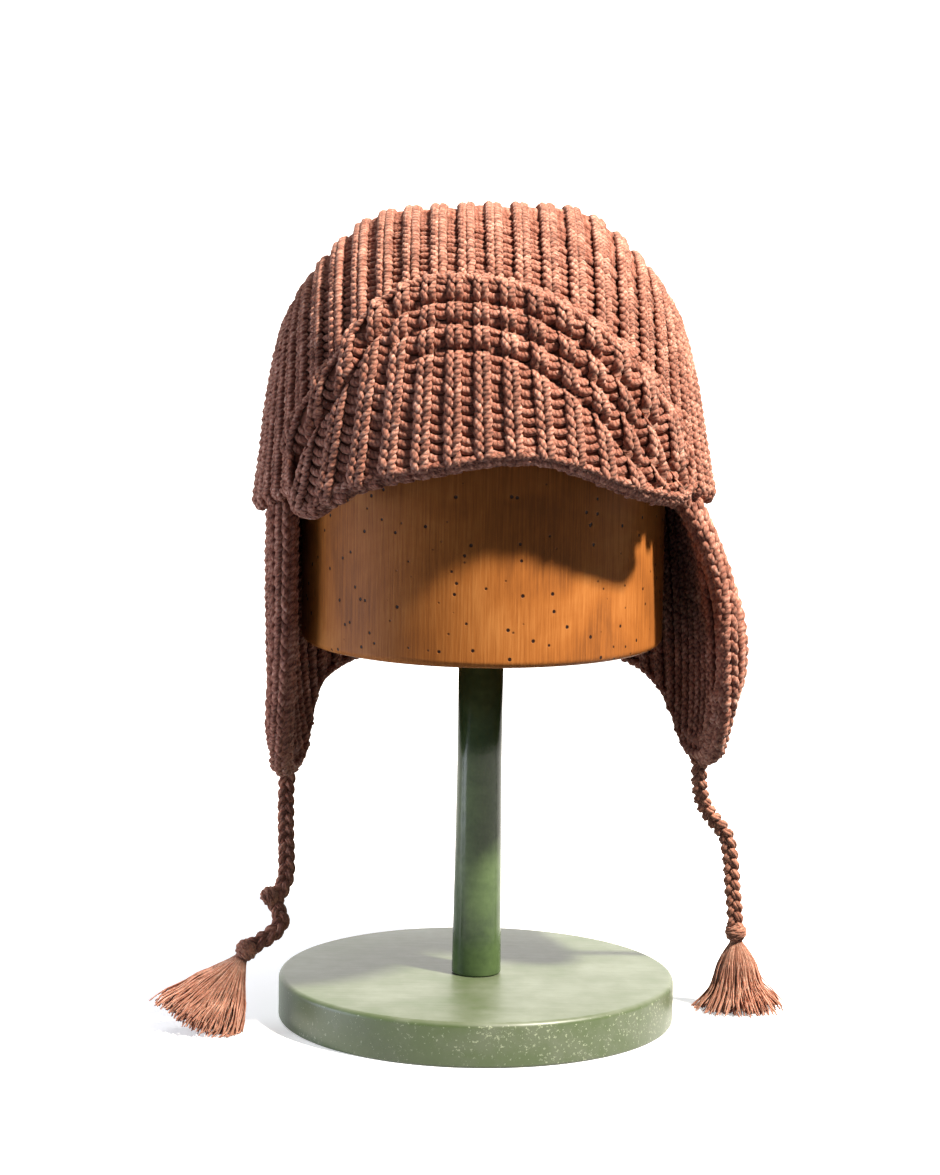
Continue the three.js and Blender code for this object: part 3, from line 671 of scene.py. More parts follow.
def new_stitch(name, legs, relief=6.8, rings=None):
    """One stitch made of legs of yarn, marked with painted shade that darkens it with depth over its relief.
    """
    vertices, faces, along_yarn = [], [], []
    for leg in legs:
        points, loops, marks = yarn_leg(*leg, rings or len(leg[1]))
        faces += [[len(vertices) + v for v in loop] for loop in loops]
        vertices += points
        along_yarn += marks
    piece = new_piece(name, vertices, faces)
    layer = piece.data.uv_layers.new(name="along_yarn")
    layer.data.foreach_set("uv", np.array(along_yarn, np.float32).ravel())
    height = np.array(vertices)[:, 2]
    painted_depth_shade = piece.data.attributes.new("painted_depth_shade", "FLOAT", "POINT")
    painted_depth_shade.data.foreach_set("value", ((height.max() - height) / relief).astype(np.float32))
    return piece


def both_legs(points, radii):
    """A leg of a knit V and its mirror image."""
    return (points, radii), (tuple((-x, y, z) for x, y, z in points), radii)


# A rib stitch is the two legs of a knit V on the crest, and a purl bar that sinks into the groove beside it
RIB_LEGS = both_legs(
    ((-2.2, 3.0, -0.8), (-2.35, 1.3, 0.1), (-1.55, -0.8, 0.7), (-0.45, -2.9, 0.2)), (1.1, 1.55, 1.6, 1.0),
)
EDGE_LEGS = both_legs(
    ((-1.6, 3.0, -0.8), (-1.75, 1.3, 0.0), (-1.15, -0.8, 0.5), (-0.35, -2.9, 0.1)), (1.0, 1.35, 1.4, 0.9),
)
RIDGE_LEGS = both_legs(
    ((-1.3, 3.3, -0.9), (-1.5, 1.5, -0.2), (-0.95, -0.8, 0.4), (-0.3, -3.0, 0.1)), (0.8, 1.1, 1.15, 0.75),
)
PURL_BAR = (
    ((2.3, 1.3, -2.0), (3.9, 0.2, -1.9), (5.3, -0.5, -2.2), (6.9, -0.4, -2.5), (8.5, 0.3, -2.9)),
    (0.9, 1.75, 1.9, 1.85, 1.35),
)
TUCKED_BAR = (
    ((2.3, 1.3, -2.4), (3.9, 0.2, -2.3), (5.4, -0.5, -2.6), (7.1, -0.4, -2.8), (9.0, 0.3, -3.0)),
    (0.9, 1.75, 1.9, 1.85, 1.5),
)
RIDGE_BAR = ((1.5, 1.3, -2.2), (4.0, 0.1, -2.4), (7.0, -0.2, -2.7), (10.0, 0.4, -2.9)), (0.9, 1.6, 1.7, 1.2)
rib_stitch = new_stitch("rib_stitch", (*RIB_LEGS, PURL_BAR))
tucked_stitch = new_stitch("tucked_stitch", (*RIB_LEGS, TUCKED_BAR), relief=9.5, rings=11)
edge_stitch = new_stitch("edge_stitch", EDGE_LEGS, relief=3.8)
groove_stitch = new_stitch("groove_stitch", (PURL_BAR,))
ridge_stitch = new_stitch("ridge_stitch", (*RIDGE_LEGS, RIDGE_BAR), relief=4.2)
stitches_along_ribs = stitch_tree()
strands_along_lines = strand_tree()


def knitted(
    name, lines, stitch=rib_stitch, width=STITCH_WIDTH, pitch=STITCH_PITCH, relief=1.0, wobble=0.09, seed=1,
):
    """A piece of stitches set along lines."""
    return grown(name, drawn_lines(name + "_lines", lines), stitches_along_ribs, {
        "Stitch": stitch, "Stitch pitch": pitch * MM, "Stitch length": STITCH_PITCH * MM,
        "Stitch width": width, "Relief": relief, "Wobble": wobble, "Unevenness": 0.07, "Seed": seed,
        "Yarn": rib_yarn,
    })


def stranded(name, lines, thickness, sides, yarn):
    """A piece of round strands laid along lines."""
    return grown(name, drawn_lines(name + "_lines", lines), strands_along_lines, {
        "Thickness": thickness * MM, "Sides": sides, "Yarn": yarn,
    })


# Camera
camera = new_object("photo_camera", bpy.data.cameras.new("photo_camera"))
camera.data.sensor_width = SENSOR
camera.data.lens = SENSOR * FOCAL_PIXELS / PICTURE_HEIGHT
camera.data.clip_end = 50
camera.matrix_world = (
    Matrix.Translation([c * MM for c in EYE])
    @ Matrix.Rotation(math.radians(90 - LOOK_DOWN), 4, "X")
    @ Matrix.Rotation(math.radians(PICTURE_ROLL), 4, "Z")
)
scene.camera = camera


# Ties, knots and tassels
def smooth_route(route, steps=12):
    """Catmull-Rom curve through the route's points."""
    p = np.array(route, float)
    p = np.concatenate([[2 * p[0] - p[1]], p, [2 * p[-1] - p[-2]]])
    t = (np.arange(steps) / steps)[:, None]
    spans = [
        0.5 * (2 * b + (c - a) * t + (2 * a - 5 * b + 4 * c - d) * t ** 2 + (3 * b - a - 3 * c + d) * t ** 3)
        for a, b, c, d in zip(p[:-3], p[1:-2], p[2:-1], p[3:])
    ]
    return np.concatenate([*spans, p[-2:-1]])


def evenly(points, step):
    """The same line in even steps, and the length run at each."""
    length = run_length(points)
    at = np.linspace(0, length[-1], max(int(round(length[-1] / step)), 1) + 1)
    return read_line(at, length, points), at


def carried_frame(points):
    """Two directions across a line, carried along it without twisting."""
    along = unit(np.gradient(points, axis=0))
    first = []
    ahead = np.array([1.0, 0.0, 0.0])
    for t in along:
        ahead = unit(ahead - np.dot(ahead, t) * t)
        first.append(ahead)
    first = np.array(first)
    return first, np.cross(along, first)


def twisted(points, radius, lay, plies):
    """Lines of the plies twisted round a line, one turn in each lay."""
    first, second = carried_frame(points)
    lines = []
    for ply in range(plies):
        turn = 2 * math.pi * (run_length(points) / lay + ply / plies)
        lines.append(points + radius * (np.cos(turn)[:, None] * first + np.sin(turn)[:, None] * second))
    return lines


def with_width(points, width=1.0):
    """A line for strands, which need no way out of a surface."""
    return points, np.zeros_like(points), width * np.ones(len(points))


def plaited(name, route):
    """A plait of three plump strands along a route, each strand a slack bundle of yarns."""
    centre, at = evenly(smooth_route(route), PLAIT_STEP)
    across, deep = carried_frame(centre)
    lines = []
    for strand in range(3):
        turn = 2 * math.pi * (at / PLAIT_PITCH + strand / 3)
        aside = PLAIT_WIDE * np.sin(turn)[:, None] * across
        path = centre + aside + PLAIT_DEEP * np.sin(2 * turn)[:, None] * deep
        plump = BUNDLE_RADIUS * (BUNDLE_SLIM + BUNDLE_SWELL * np.sin(turn) ** 2)[:, None]
        lines += [with_width(line) for line in twisted(path, plump, BUNDLE_LAY, BUNDLE_YARNS)]
    return stranded(name, lines, YARN_THICK, 6, cord_yarn), centre, at[-1]


def wound_ball(name, centre, axis, radius, turns, thick):
    """A ball of yarn bundles wound round an axis."""
    t = np.linspace(0, 1, int(turns * WINDING_POINTS))
    rise = np.radians(WINDING_REACH * (2 * t - 1))[:, None]
    turn = 2 * math.pi * turns * t[:, None]
    first, second = carried_frame(np.array([centre, centre + axis]))
    lines = []
    for tilt in WINDING_TILTS:
        up = unit(axis + tilt * first[0])
        side = unit(np.cross(up, second[0] + WINDING_SKEW * first[0]))
        front = np.cross(up, side)
        outward = np.cos(rise) * (np.cos(turn) * side + np.sin(turn) * front) + np.sin(rise) * up
        path = centre + (radius - thick / 2) * outward
        yarns = twisted(path, WINDING_SPREAD * thick, WINDING_LAY, WINDING_YARNS)
        lines += [with_width(line) for line in yarns]
    return stranded(name, lines, 2 * WINDING_SPREAD * thick, 6, cord_yarn)


def tassel(name, start, down, shape):
    """Loose strands that leave the knot together and spread to their cut ends."""
    across = unit(np.array([1.0, 0.0, 0.0]) - down[0] * down)
    deep = np.cross(down, across)
    lines = []
    for _ in range(TASSEL_STRANDS):
        way = chance.uniform(0, 2 * math.pi)
        out = chance.uniform(0, 1) ** STRAND_CROWDING
        t = np.linspace(STRAND_START, chance.uniform(*STRAND_ENDS), STRAND_POINTS)
        loose = np.maximum(t, 0)
        half = out * smooth_read(TASSEL_ALONG, shape["half_width"], t)
        grow = np.clip(t * SPREAD_RATE, 0, 1)
        spread = chance.choice(STRAYS, p=STRAY_SHARES)
        stray = chance.normal(0, spread, 2) * loose[:, None] ** STRAY_BEND
        curl = STRAND_CURL * np.sin(t * chance.uniform(*CURL_TURNS) + chance.uniform(*CURL_STARTS)) * loose
        wide = half * (1 + (shape["width"] - 1) * grow) * math.cos(way) + stray[:, 0] + curl
        thick = half * (1 + (shape["depth"] - 1) * grow) * math.sin(way) + stray[:, 1] - curl
        points = start + t[:, None] * shape["length"] * down + wide[:, None] * across + thick[:, None] * deep
        points[:, 2] = np.maximum(points[:, 2], LOWEST_STRAND)
        lines.append(with_width(points, chance.uniform(*STRAND_WEIGHTS)))
    return stranded(name, lines, TASSEL_STRAND_THICK, 4, tassel_yarn)


def tie(side, route, shape):
    """One tie with its knots and tassel, in place of the imported ones and held on the root body."""
    route = np.array(route)
    end = unit(route[-1] - route[-2])
    sewn_in = route[0] + TIE_SEWN_IN * unit(route[0] - route[1])
    cord, centre, length = plaited("plaited_tie_" + side, (sewn_in, *route, route[-1] + KNOT_RUN_IN * end))
    middle = route[-1] + end * (KNOT_DIAMETER / 2 + GAP)
    knot = wound_ball("wound_knot_" + side, middle, end, KNOT_DIAMETER / 2, KNOT_TURNS, KNOT_YARN)
    lean, turn = math.radians(shape["lean"]), math.radians(shape["turn"])
    down = np.array([math.sin(lean) * math.cos(turn), math.sin(lean) * math.sin(turn), -math.cos(lean)])
    skirt = tassel("tassel_strands_" + side, middle + down * (KNOT_DIAMETER / 2 + GAP), down, shape)
    pieces = [knot, skirt]
    if side == "right":
        kink = route[KINK_AT] + KINK_ASIDE
        pieces.append(
            wound_ball("kink_knot_right", kink, unit(KINK_AXIS), KINK_RADIUS, KINK_TURNS, KINK_YARN)
        )
    for piece, node in ((cord, "tie_"), (knot, "knot_"), (skirt, "tassel_")):
        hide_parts(node + side)
    for piece in (cord, *pieces):
        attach(piece, "root")


tie("right", TIE_RIGHT_ROUTE, TASSEL_RIGHT)
tie("left", TIE_LEFT_ROUTE, TASSEL_LEFT)


# Crown form
def crown_size(column, z):
    """Half width or depth of the crown at a height."""
    squares = np.square(CROWN_PROFILE[column])
    return np.sqrt(np.maximum(smooth_read(CROWN_PROFILE["z"], squares, z), 1e-6))


def crown_inside(p):
    """Under 1 for a point inside the crown, and over 1 outside it."""
    x, y, z = np.moveaxis(p, -1, 0)
    depth = np.where(y < CROWN_MIDDLE[1], crown_size("front", z), crown_size("back", z))
    fill = (np.abs(x) / crown_size("half_width", z)) ** CROWN_SQUARENESS
    fill = fill + (np.abs(y - CROWN_MIDDLE[1]) / depth) ** CROWN_SQUARENESS
    return np.where(z >= CROWN_TOP, 9.0, fill)


def crown_point(direction):
    """Where a direction from the crown's middle meets its outside, by halving."""
    low, high = np.full(direction.shape[:-1], 20.0), np.full(direction.shape[:-1], 180.0)
    for _ in range(34):
        middle = (low + high) / 2
        within = crown_inside(CROWN_MIDDLE + direction * middle[..., None]) < 1
        low, high = np.where(within, middle, low), np.where(within, high, middle)
    return CROWN_MIDDLE + direction * low[..., None]


def crown_normal(p):
    h = 0.4
    p = np.concatenate([p[..., :2], np.minimum(p[..., 2:], CROWN_TOP - 2 * h)], -1)
    steps = np.eye(3) * h
    return unit(np.stack([crown_inside(p + s) - crown_inside(p - s) for s in steps], -1))


def rim_z(angle):
    """Height of the rim at an angle from the brow."""
    c = np.cos(angle)
    bend = np.abs(c) ** RIM_BEND
    return RIM_SIDE_Z + np.where(c > 0, RIM_BROW_LIFT * bend, -RIM_NAPE_FALL * bend)


def oval(angle, half_width, front, back, z):
    """Point of an oval plan at an angle from the brow."""
    along = signed_power(np.cos(angle), 2 / CROWN_SQUARENESS)
    x = half_width * signed_power(np.sin(angle), 2 / CROWN_SQUARENESS)
    y = CROWN_MIDDLE[1] - along * np.where(along > 0, front, back)
    return np.stack([x, y, z + 0 * x], -1)


def rim_point(angle):
    z = rim_z(angle)
    return oval(angle, crown_size("half_width", z), crown_size("front", z), crown_size("back", z), z)


def turn_between(a, b, share):
    """Direction a share of the way from one direction to another."""
    whole = np.arccos(np.clip((a * b).sum(-1), -1, 1))[..., None]
    return unit((np.sin((1 - share) * whole) * a + np.sin(share * whole) * b) / np.sin(whole))


def crown_ribs(behind):
    """Points and normals of the front's or back's rib lines, from rim to ridge, and each rib's number."""
    place = (np.arange(-QUARTER_RIBS, QUARTER_RIBS) + 0.5) / QUARTER_RIBS
    fine = np.linspace(0, math.pi / 2, 400)
    length = run_length(rim_point(math.pi - fine if behind else fine))
    angle = np.interp(np.abs(place), length / length[-1], fine)
    rim = rim_point(np.sign(place) * (math.pi - angle if behind else angle))
    pull = np.abs(place) * RIDGE_SPREAD
    ridge_x = RIDGE_HALF_WIDTH * place * RIDGE_SPREAD / (1 + pull ** RIDGE_CORNER) ** (1 / RIDGE_CORNER)
    heights = np.linspace(CROWN_TOP - 0.01, RIM_SIDE_Z + 20, 3000)
    ridge_z = np.interp(np.abs(ridge_x), crown_size("half_width", heights), heights)
    share = np.linspace(0, 1, RIB_STEPS)
    start = rim[:, None]
    x = start[..., 0] + (ridge_x[:, None] - start[..., 0]) * share
    y = CROWN_MIDDLE[1] + (start[..., 1] - CROWN_MIDDLE[1]) * np.cos(share * math.pi / 2)
    z = start[..., 2] + (ridge_z[:, None] - start[..., 2]) * np.sin(share * math.pi / 2)
    for _ in range(4):
        points = crown_point(unit(np.stack([x, y, z], -1) - CROWN_MIDDLE))
        y, z = points[..., 1], points[..., 2]
    return points, crown_normal(points), np.floor(np.abs(place) * QUARTER_RIBS).astype(int)


def rib_widths(points):
    """Distance between neighbouring rib lines, square to them."""
    return width_across(np.gradient(points, axis=0), unit(np.gradient(points, axis=1)))


def crown_lines():
    """Rib lines of the crown, rolled round the rim, joined over the ridge, and dropped where they crowd.

    Ribs that stop short at the back have their purl bars on the other side, which leaves one groove bare.
    """
    halves = []
    for behind in (False, True):
        points, normals, number = crown_ribs(behind)
        pitch = rib_widths(points)
        merge = 2 ** np.ceil(np.log2(np.maximum(NARROWEST_RIB / pitch, 1))).astype(int)
        merge = np.maximum.accumulate(np.minimum(merge, MOST_RIBS_MERGED), axis=1)
        lines = []
        for rib in range(len(points)):
            kept = number[rib] % merge[rib] == 0
            count = RIB_STEPS if kept.all() else int(np.argmin(kept))
            base, flat = points[rib, 0], unit(normals[rib, 0] * (1, 1, 0))
            roll = [base - flat * (CROWN_WALL - 1) + height * UP for height in RIM_TUCK]
            roll.append(base - flat * CROWN_WALL * 0.5 - (RIM_ROLL - STITCH_SINK) * UP)
            widths = pitch[rib] * merge[rib]
            lines.append((
                drooped(np.array([*roll, *(points[rib, :count] - normals[rib, :count] * STITCH_SINK)])),
                np.array([-flat, -flat, -UP, *normals[rib, :count]]),
                np.concatenate([[widths[0]] * ROLL_STEPS, widths[:count]]),
            ))
        halves.append(lines)
    joined = {"right": [], "left": [], "bare_groove": []}
    for rib, (front, back) in enumerate(zip(*halves)):
        side = joined["right" if rib < QUARTER_RIBS else "left"]
        if len(front[0]) == len(back[0]) == RIB_STEPS + ROLL_STEPS:
            side.append(tuple(np.concatenate([f, b[-2::-1]]) for f, b in zip(front, back)))
            joined["bare_groove"] = joined["bare_groove"] or [back]
        else:
            side += [line for line in (front, back) if len(line[0]) > 2 * ROLL_STEPS]
    return joined


def crown_ground():
    """Felted inner wall that the stitches stand on, closed over the top and round the rim."""
    columns, rows = 120, 34
    angle = np.linspace(-math.pi, math.pi, columns, endpoint=False)
    rim = unit(rim_point(angle) + RIM_GROUND_LIFT * UP - CROWN_MIDDLE)
    share = np.linspace(0, 1, rows)[:, None, None]
    points = crown_point(turn_between(rim[None], UP[None, None], share))
    normals = crown_normal(points)
    normals[-1] = UP
    outer = drooped(points - normals * GROUND_DEPTH)
    inner = drooped(points - normals * (CROWN_WALL - 2 * GAP))
    loops = np.concatenate([inner[::-1], outer])
    return closed_up(new_piece("crown_ground", loops, grid_faces(2 * rows, columns, wrap=True), ground_yarn))


crown = crown_ground()
crown_rib_lines = crown_lines()
crown_ribs_right = knitted("crown_ribs_right", crown_rib_lines["right"], pitch=CROWN_STITCH_PITCH, seed=5)
crown_ribs_left = knitted("crown_ribs_left", crown_rib_lines["left"], pitch=CROWN_STITCH_PITCH, seed=6)
crown_groove = knitted(
    "crown_groove", crown_rib_lines["bare_groove"], groove_stitch, pitch=CROWN_STITCH_PITCH, seed=4,
)


# Peak
def peak_edge(column, x):
    return smooth_read(PEAK_OUTLINE["x"], PEAK_OUTLINE[column], x)


def peak_from_edge(x, z):
    """Distance in from the peak's upper edge, closing up in the lowest part of the peak."""
    even, closing = 0.7, 0.25
    top, bottom = peak_edge("top", x), peak_edge("bottom", x)
    slope = (peak_edge("top", x + 2) - peak_edge("top", x - 2)) / 4
    stretch = np.minimum(np.sqrt(1 + slope ** 2), 2.2)
    height = np.maximum(top - bottom, 1)
    share = (top - z) / height
    late = even - closing * np.log(np.maximum(1 - (share - even) / closing, 0.02))
    return np.where(share < even, share, late) * height / stretch


def bell(distance, width):
    return np.exp(-(distance / width) ** 2)


def arc_strength(i, x):
    """How much of an arc is left, as it fades towards the wearer's right."""
    return np.clip((x - PEAK_ARCS["fades_out_at"][i]) / PEAK_ARCS["fades_over"], 0, 1)


def peak_thick(x, z):
    """Thickness of the padded peak before its arcs are sewn: fuller over the hem and thin at its edges."""
    edge = peak_from_edge(x, z)
    above = z - peak_edge("bottom", x)
    swell = HEM_SWELL * bell(above - HEM_SWELL_AT, HEM_SWELL_WIDE)
    return PEAK_THICK + swell - EDGE_THIN * bell(np.minimum(edge, above) - EDGE_THIN_AT, EDGE_THIN_WIDE)


def rolled(distance):
    """How far a band of the peak rounds in, by the distance to the tuck at its edge."""
    return 1 - np.sqrt(1 - np.clip(1 - distance / TUCK_ROLL, 0, 1) ** 2)


def arc_depth(x, z):
    """How far the sewn tucks pull the peak in."""
    edge = peak_from_edge(x, z)
    pull = 0 * edge
    for i, (place, depth) in enumerate(zip(PEAK_ARCS["from_edge"], PEAK_ARCS["depth"])):
        pull = np.maximum(pull, depth * arc_strength(i, x) * rolled(np.abs(edge - place)))
    return pull


def peak_seat(x, z):
    """Point of the crown's front that the peak lies on."""
    inside = np.maximum(1 - (np.abs(x) / crown_size("half_width", z)) ** CROWN_SQUARENESS, 0.001)
    y = CROWN_MIDDLE[1] - crown_size("front", z) * inside ** (1 / CROWN_SQUARENESS)
    return np.stack([x, y, z], -1)


def along_brow(step):
    """Even steps across the brow, along the crown."""
    x = np.linspace(*BROW_BETWEEN, 600)
    length = run_length(peak_seat(x, PEAK_MIDDLE_Z + 0 * x))
    middle = np.interp(0, x, length)
    count = np.arange(math.ceil(-middle / step), math.floor((length[-1] - middle) / step) + 1)
    return np.interp(count * step + middle, length, x)


def peak_lines():
    """Upright rib lines of the peak, rolled round its upper and lower edges."""
    lines = []
    z_fine = np.linspace(238, 345, 430)
    x_middle = along_brow(RIB_PITCH)[:, None]
    fan = PEAK_FAN_RIGHT + (PEAK_FAN_LEFT - PEAK_FAN_RIGHT) * np.clip(x_middle / PEAK_FAN_REACH, 0, 1)
    x_fine = x_middle * (1 + fan * (PEAK_MIDDLE_Z - z_fine) / PEAK_FAN_REACH)
    widths = rib_widths(peak_seat(x_fine, z_fine + 0 * x_fine))
    first, last = PEAK_RIBS_BETWEEN
    for x, width in zip(x_fine, widths):
        from_edges = np.minimum(z_fine - peak_edge("bottom", x), peak_edge("top", x) - z_fine)
        within = (from_edges > PEAK_RIB_INSET) & (x > first) & (x < last)
        if within.sum() < SHORTEST_PEAK_RIB:
            continue
        x, z, width = x[within], z_fine[within], np.minimum(width[within], WIDEST_PEAK_RIB)
        seat = peak_seat(x, z)
        normal = crown_normal(seat)
        points = seat + normal * (peak_thick(x, z) - STITCH_SINK)[:, None]
        along = unit(np.gradient(points, axis=0))
        out = unit(np.cross(np.cross(along, normal), along))
        low, high = normal[0], normal[-1]
        roll_in = [points[0] - inward * low + lift * UP for inward, lift in PEAK_ROLL_IN]
        roll_over = [points[-1] - inward * high + lift * UP for inward, lift in PEAK_ROLL_OVER]
        lines.append((
            drooped(np.concatenate([roll_in, points, roll_over])),
            unit(np.concatenate([[-UP - 0.6 * low, -UP + 0.4 * low], out, [UP + 0.5 * high, UP]])),
            np.concatenate([[width[0]] * 2, width, [width[-1]] * 2]),
        ))
    return lines


def sewn(piece):
    """Pulls the peak's ribs in along its arcs, as rows of sewing do, and keeps them above its hem; the yarn
    pulled into the tucks gets painted shade.
    """
    own = own_points(piece)
    own[:, 2] = np.maximum(own[:, 2], peak_edge("bottom", own[:, 0]) - HEM_ROLL)
    seat = own
    for _ in range(3):
        on_crown = peak_seat(seat[:, 0], seat[:, 2])
        normal = crown_normal(on_crown)
        above = ((own - on_crown) * normal).sum(-1)
        seat = own - normal * above[:, None]
    pull = arc_depth(seat[:, 0], seat[:, 2]) * np.clip(above / PEAK_THICK, 0, 1)
    # Painted shade: yarn pulled into a tuck is coloured darker in step with the pull
    shades = piece.data.attributes["painted_depth_shade"].data
    painted_depth_shade = np.empty(len(pull), np.float32)
    shades.foreach_get("value", painted_depth_shade)
    painted_depth_shade = np.minimum(painted_depth_shade + TUCK_SHADE * pull / PEAK_ARCS["depth"][0], 1.0)
    shades.foreach_set("value", painted_depth_shade.astype(np.float32))
    set_own_points(piece, own - normal * pull[:, None])
    return piece


def edge_rows(line, way_up, rows):
    """Edge rows along a line of the peak."""
    line = eased(line, 6)
    seat = peak_seat(line[:, 0], line[:, 1])
    normal = crown_normal(seat)
    away = unit(np.cross(normal, unit(np.gradient(seat, axis=0))))
    away *= way_up * np.sign(away[len(away) // 2, 2])
    width = np.full(len(seat), PEAK_ROW_WIDTH)
    return [
        (drooped(seat + lift * normal - inset * away), unit(off * away + out * normal), width)
        for lift, inset, off, out in rows
    ]


def peak_edges():
    """Edge rows round the peak's ends and lower edge, and along its upper edge behind the ribs."""
    across = np.linspace(PEAK_OUTLINE["x"][0] + 1.0, PEAK_OUTLINE["x"][-1] - 1.0, 160)
    low = np.stack([across, peak_edge("bottom", across)], -1)
    high = np.stack([across, peak_edge("top", across)], -1)
    right_end, left_end = np.linspace(high[0], low[0], 16)[:-1], np.linspace(low[-1], high[-1], 8)[1:]
    hem = np.concatenate([right_end, low, left_end])
    return edge_rows(hem, -1, PEAK_HEM_ROWS) + edge_rows(high, 1, PEAK_TOP_ROWS)


def peak_ground():
    """Felted pad behind the peak's stitches."""
    columns, rows = 60, 40
    first, last = PEAK_OUTLINE["x"][0] + PEAK_PAD["ends_in"], PEAK_OUTLINE["x"][-1] - PEAK_PAD["ends_in"]
    x = np.linspace(first, last, columns)[:, None] * np.ones(rows)
    low, high = peak_edge("bottom", x) + PEAK_PAD["low_in"], peak_edge("top", x) - PEAK_PAD["high_in"]
    z = low + (high - low) * np.linspace(0, 1, rows)
    seat = peak_seat(x, z)
    normal = crown_normal(seat)
    thick = np.maximum(peak_thick(x, z) - arc_depth(x, z) - PEAK_GROUND_DEPTH, PEAK_PAD["thinnest"])
    back = seat + normal * PEAK_PAD["off_crown"]
    return felt_pad("peak_ground", drooped(seat + normal * thick[..., None]), drooped(back))


peak = peak_ground()
peak_ribs = sewn(knitted("peak_ribs", peak_lines(), tucked_stitch, relief=PEAK_RELIEF, seed=7))
peak_edging = knitted("peak_edging", peak_edges(), edge_stitch, EDGE_STITCH_WIDTH, seed=8)


# Ear flaps and neck flap
def section(column, turn):
    return smooth_read(CURTAIN_SECTIONS["turn"], CURTAIN_SECTIONS[column], turn)


def splayed(angle, drop):
    """How far the curtain stands sideways of its top."""
    turn = np.degrees(-angle)
    share = drop / section("fall", turn)
    bend = 4 * share * (1 - share) * section("splay_middle", turn)
    bend = bend + share * (2 * share - 1) * section("splay_low", turn)
    return signed_power(np.sin(angle), SPLAY_BEND) * bend


def curtain_top(angle):
    return rim_z(angle) - RIM_ROLL / 2 - 3 * GAP


def curtain(turn, drop, wall):
    """Point of the flap curtain: turn from the brow in degrees, drop below its top, depth into its wall."""
    angle = -np.radians(turn)
    p = oval(angle, CURTAIN_HALF_WIDTH - wall, CURTAIN_FRONT - wall, CURTAIN_BACK - wall, 0.0)
    aside = splayed(angle, drop)
    return drooped(p + np.stack([aside, 0 * aside, curtain_top(angle) - drop], -1))


def curtain_normal(turn, drop, wall):
    """Way out of the curtain's outer face."""
    around = curtain(turn + 0.4, drop, wall) - curtain(turn - 0.4, drop, wall)
    down = curtain(turn, drop + 0.5, wall) - curtain(turn, drop - 0.5, wall)
    square = np.cross(around, down)
    outward = curtain(turn, drop, 0.0) - curtain(turn, drop, 4.0)
    return unit(square) * np.sign((square * outward).sum(-1, keepdims=True))


def trimmed(piece):
    """Presses in the stitches that reach past the flaps' lower edge."""
    own = own_points(piece)
    x, y, z = np.moveaxis(own, -1, 0)
    ahead = CROWN_MIDDLE[1] - y
    along = signed_power(ahead / np.where(ahead > 0, CURTAIN_FRONT, CURTAIN_BACK), CROWN_SQUARENESS / 2)
    aside = 0 * x
    for _ in range(4):
        across = signed_power((x - aside) / CURTAIN_HALF_WIDTH, CROWN_SQUARENESS / 2)
        angle = -(np.arctan2(-across, along) % (2 * math.pi))
        drop = curtain_top(angle) - z
        aside = splayed(angle, drop)
    own[:, 2] += np.maximum(drop - section("fall", np.degrees(-angle)) + EDGE_ROW, 0)
    set_own_points(piece, own)
    return piece


def gathered(turn, drop):
    """Ribs of an ear flap draw together towards its tip."""
    share = (np.clip(drop, 0, LOWEST_DROP) / FLAP_LENGTH) ** GATHER_BEND
    for tip in FLAP_TIPS:
        near = np.clip(1 - np.abs(turn - tip) / GATHER_REACH, 0, 1)
        turn = turn + (tip - turn) * FLAP_GATHER * near * share
    return turn


def front_edge(first, tip, beyond):
    """An ear flap's front edge from the rim round its tip: line, way off the edge, way out of the cloth."""
    way = np.sign(tip - first)
    down = np.linspace(EDGE_START, section("fall", first), 40)
    round_it = np.linspace(first, tip + way * beyond, 120)[1:]
    turn = np.concatenate([0 * down + first, round_it])
    drop = np.concatenate([down, section("fall", round_it)])
    line = curtain(turn, drop, FLAP_WALL / 2)
    normal = curtain_normal(turn, drop - 0.6, FLAP_WALL / 2)
    length = run_length(line)
    at = np.linspace(0, length[-1], int(length[-1] / 2))
    line, normal = (eased(read_line(at, length, values), 8) for values in (line, normal))
    away = unit(np.cross(unit(np.gradient(line, axis=0)), unit(normal)))
    # A point well inside the flap tells which way is off its edge
    turn_in, below = WELL_INSIDE
    within = curtain(np.array(first + way * turn_in), np.array(below), FLAP_WALL / 2)
    away *= np.sign(((line[12] - within) * away[12]).sum())
    return line, away, unit(normal)


def tapered(line, over, least):
    """Row width along a line that narrows towards the line's end."""
    length = run_length(line)
    return EDGE_ROW_WIDTH * np.clip((length[-1] - length) / over, least, 1)


def border_lines():
    """Rolled front edge of both ear flaps, the cord beside it on each face, and the cast-off row below."""
    lines = []
    for ends in FLAP_FRONTS:
        line, away, normal = front_edge(*ends, TIP_OVERLAP)
        for a in np.radians(EDGE_ROLL_TURNS):
            out = math.cos(a) * away + math.sin(a) * normal
            row = line - EDGE_ROLL_INSET * away + EDGE_ROLL_RADIUS * out
            lines.append((row, out, tapered(line, *ROLL_TAPER)))
        line, away, normal = front_edge(*ends, -CORD_SHORT)
        for side in (-1, 1):
            cord = line - EDGE_CORD_INSET * away + side * (FLAP_WALL / 2 - EDGE_CORD_SINK) * normal
            lines.append((cord, side * normal, tapered(line, *CORD_TAPER)))
    turn = np.linspace(FLAP_TIPS[0] + 1, FLAP_TIPS[1] - 1, 300)
    drop = section("fall", turn) - CAST_OFF_LIFT
    line = curtain(turn, drop, FLAP_WALL / 2)
    away = unit(np.cross(unit(np.gradient(line, axis=0)), curtain_normal(turn, drop, FLAP_WALL / 2)))
    lines.append((line, -np.sign(away[:, 2:]) * away, np.full(len(line), CAST_OFF_WIDTH)))
    return lines


def border_core():
    """Cords inside the rolled edge and under the rows beside it."""
    lines = []
    for ends in FLAP_FRONTS:
        line, away, normal = front_edge(*ends, TIP_OVERLAP)
        lines += [with_width(line - inset * away + side * normal) for inset, side in BORDER_CORES]
    return lines


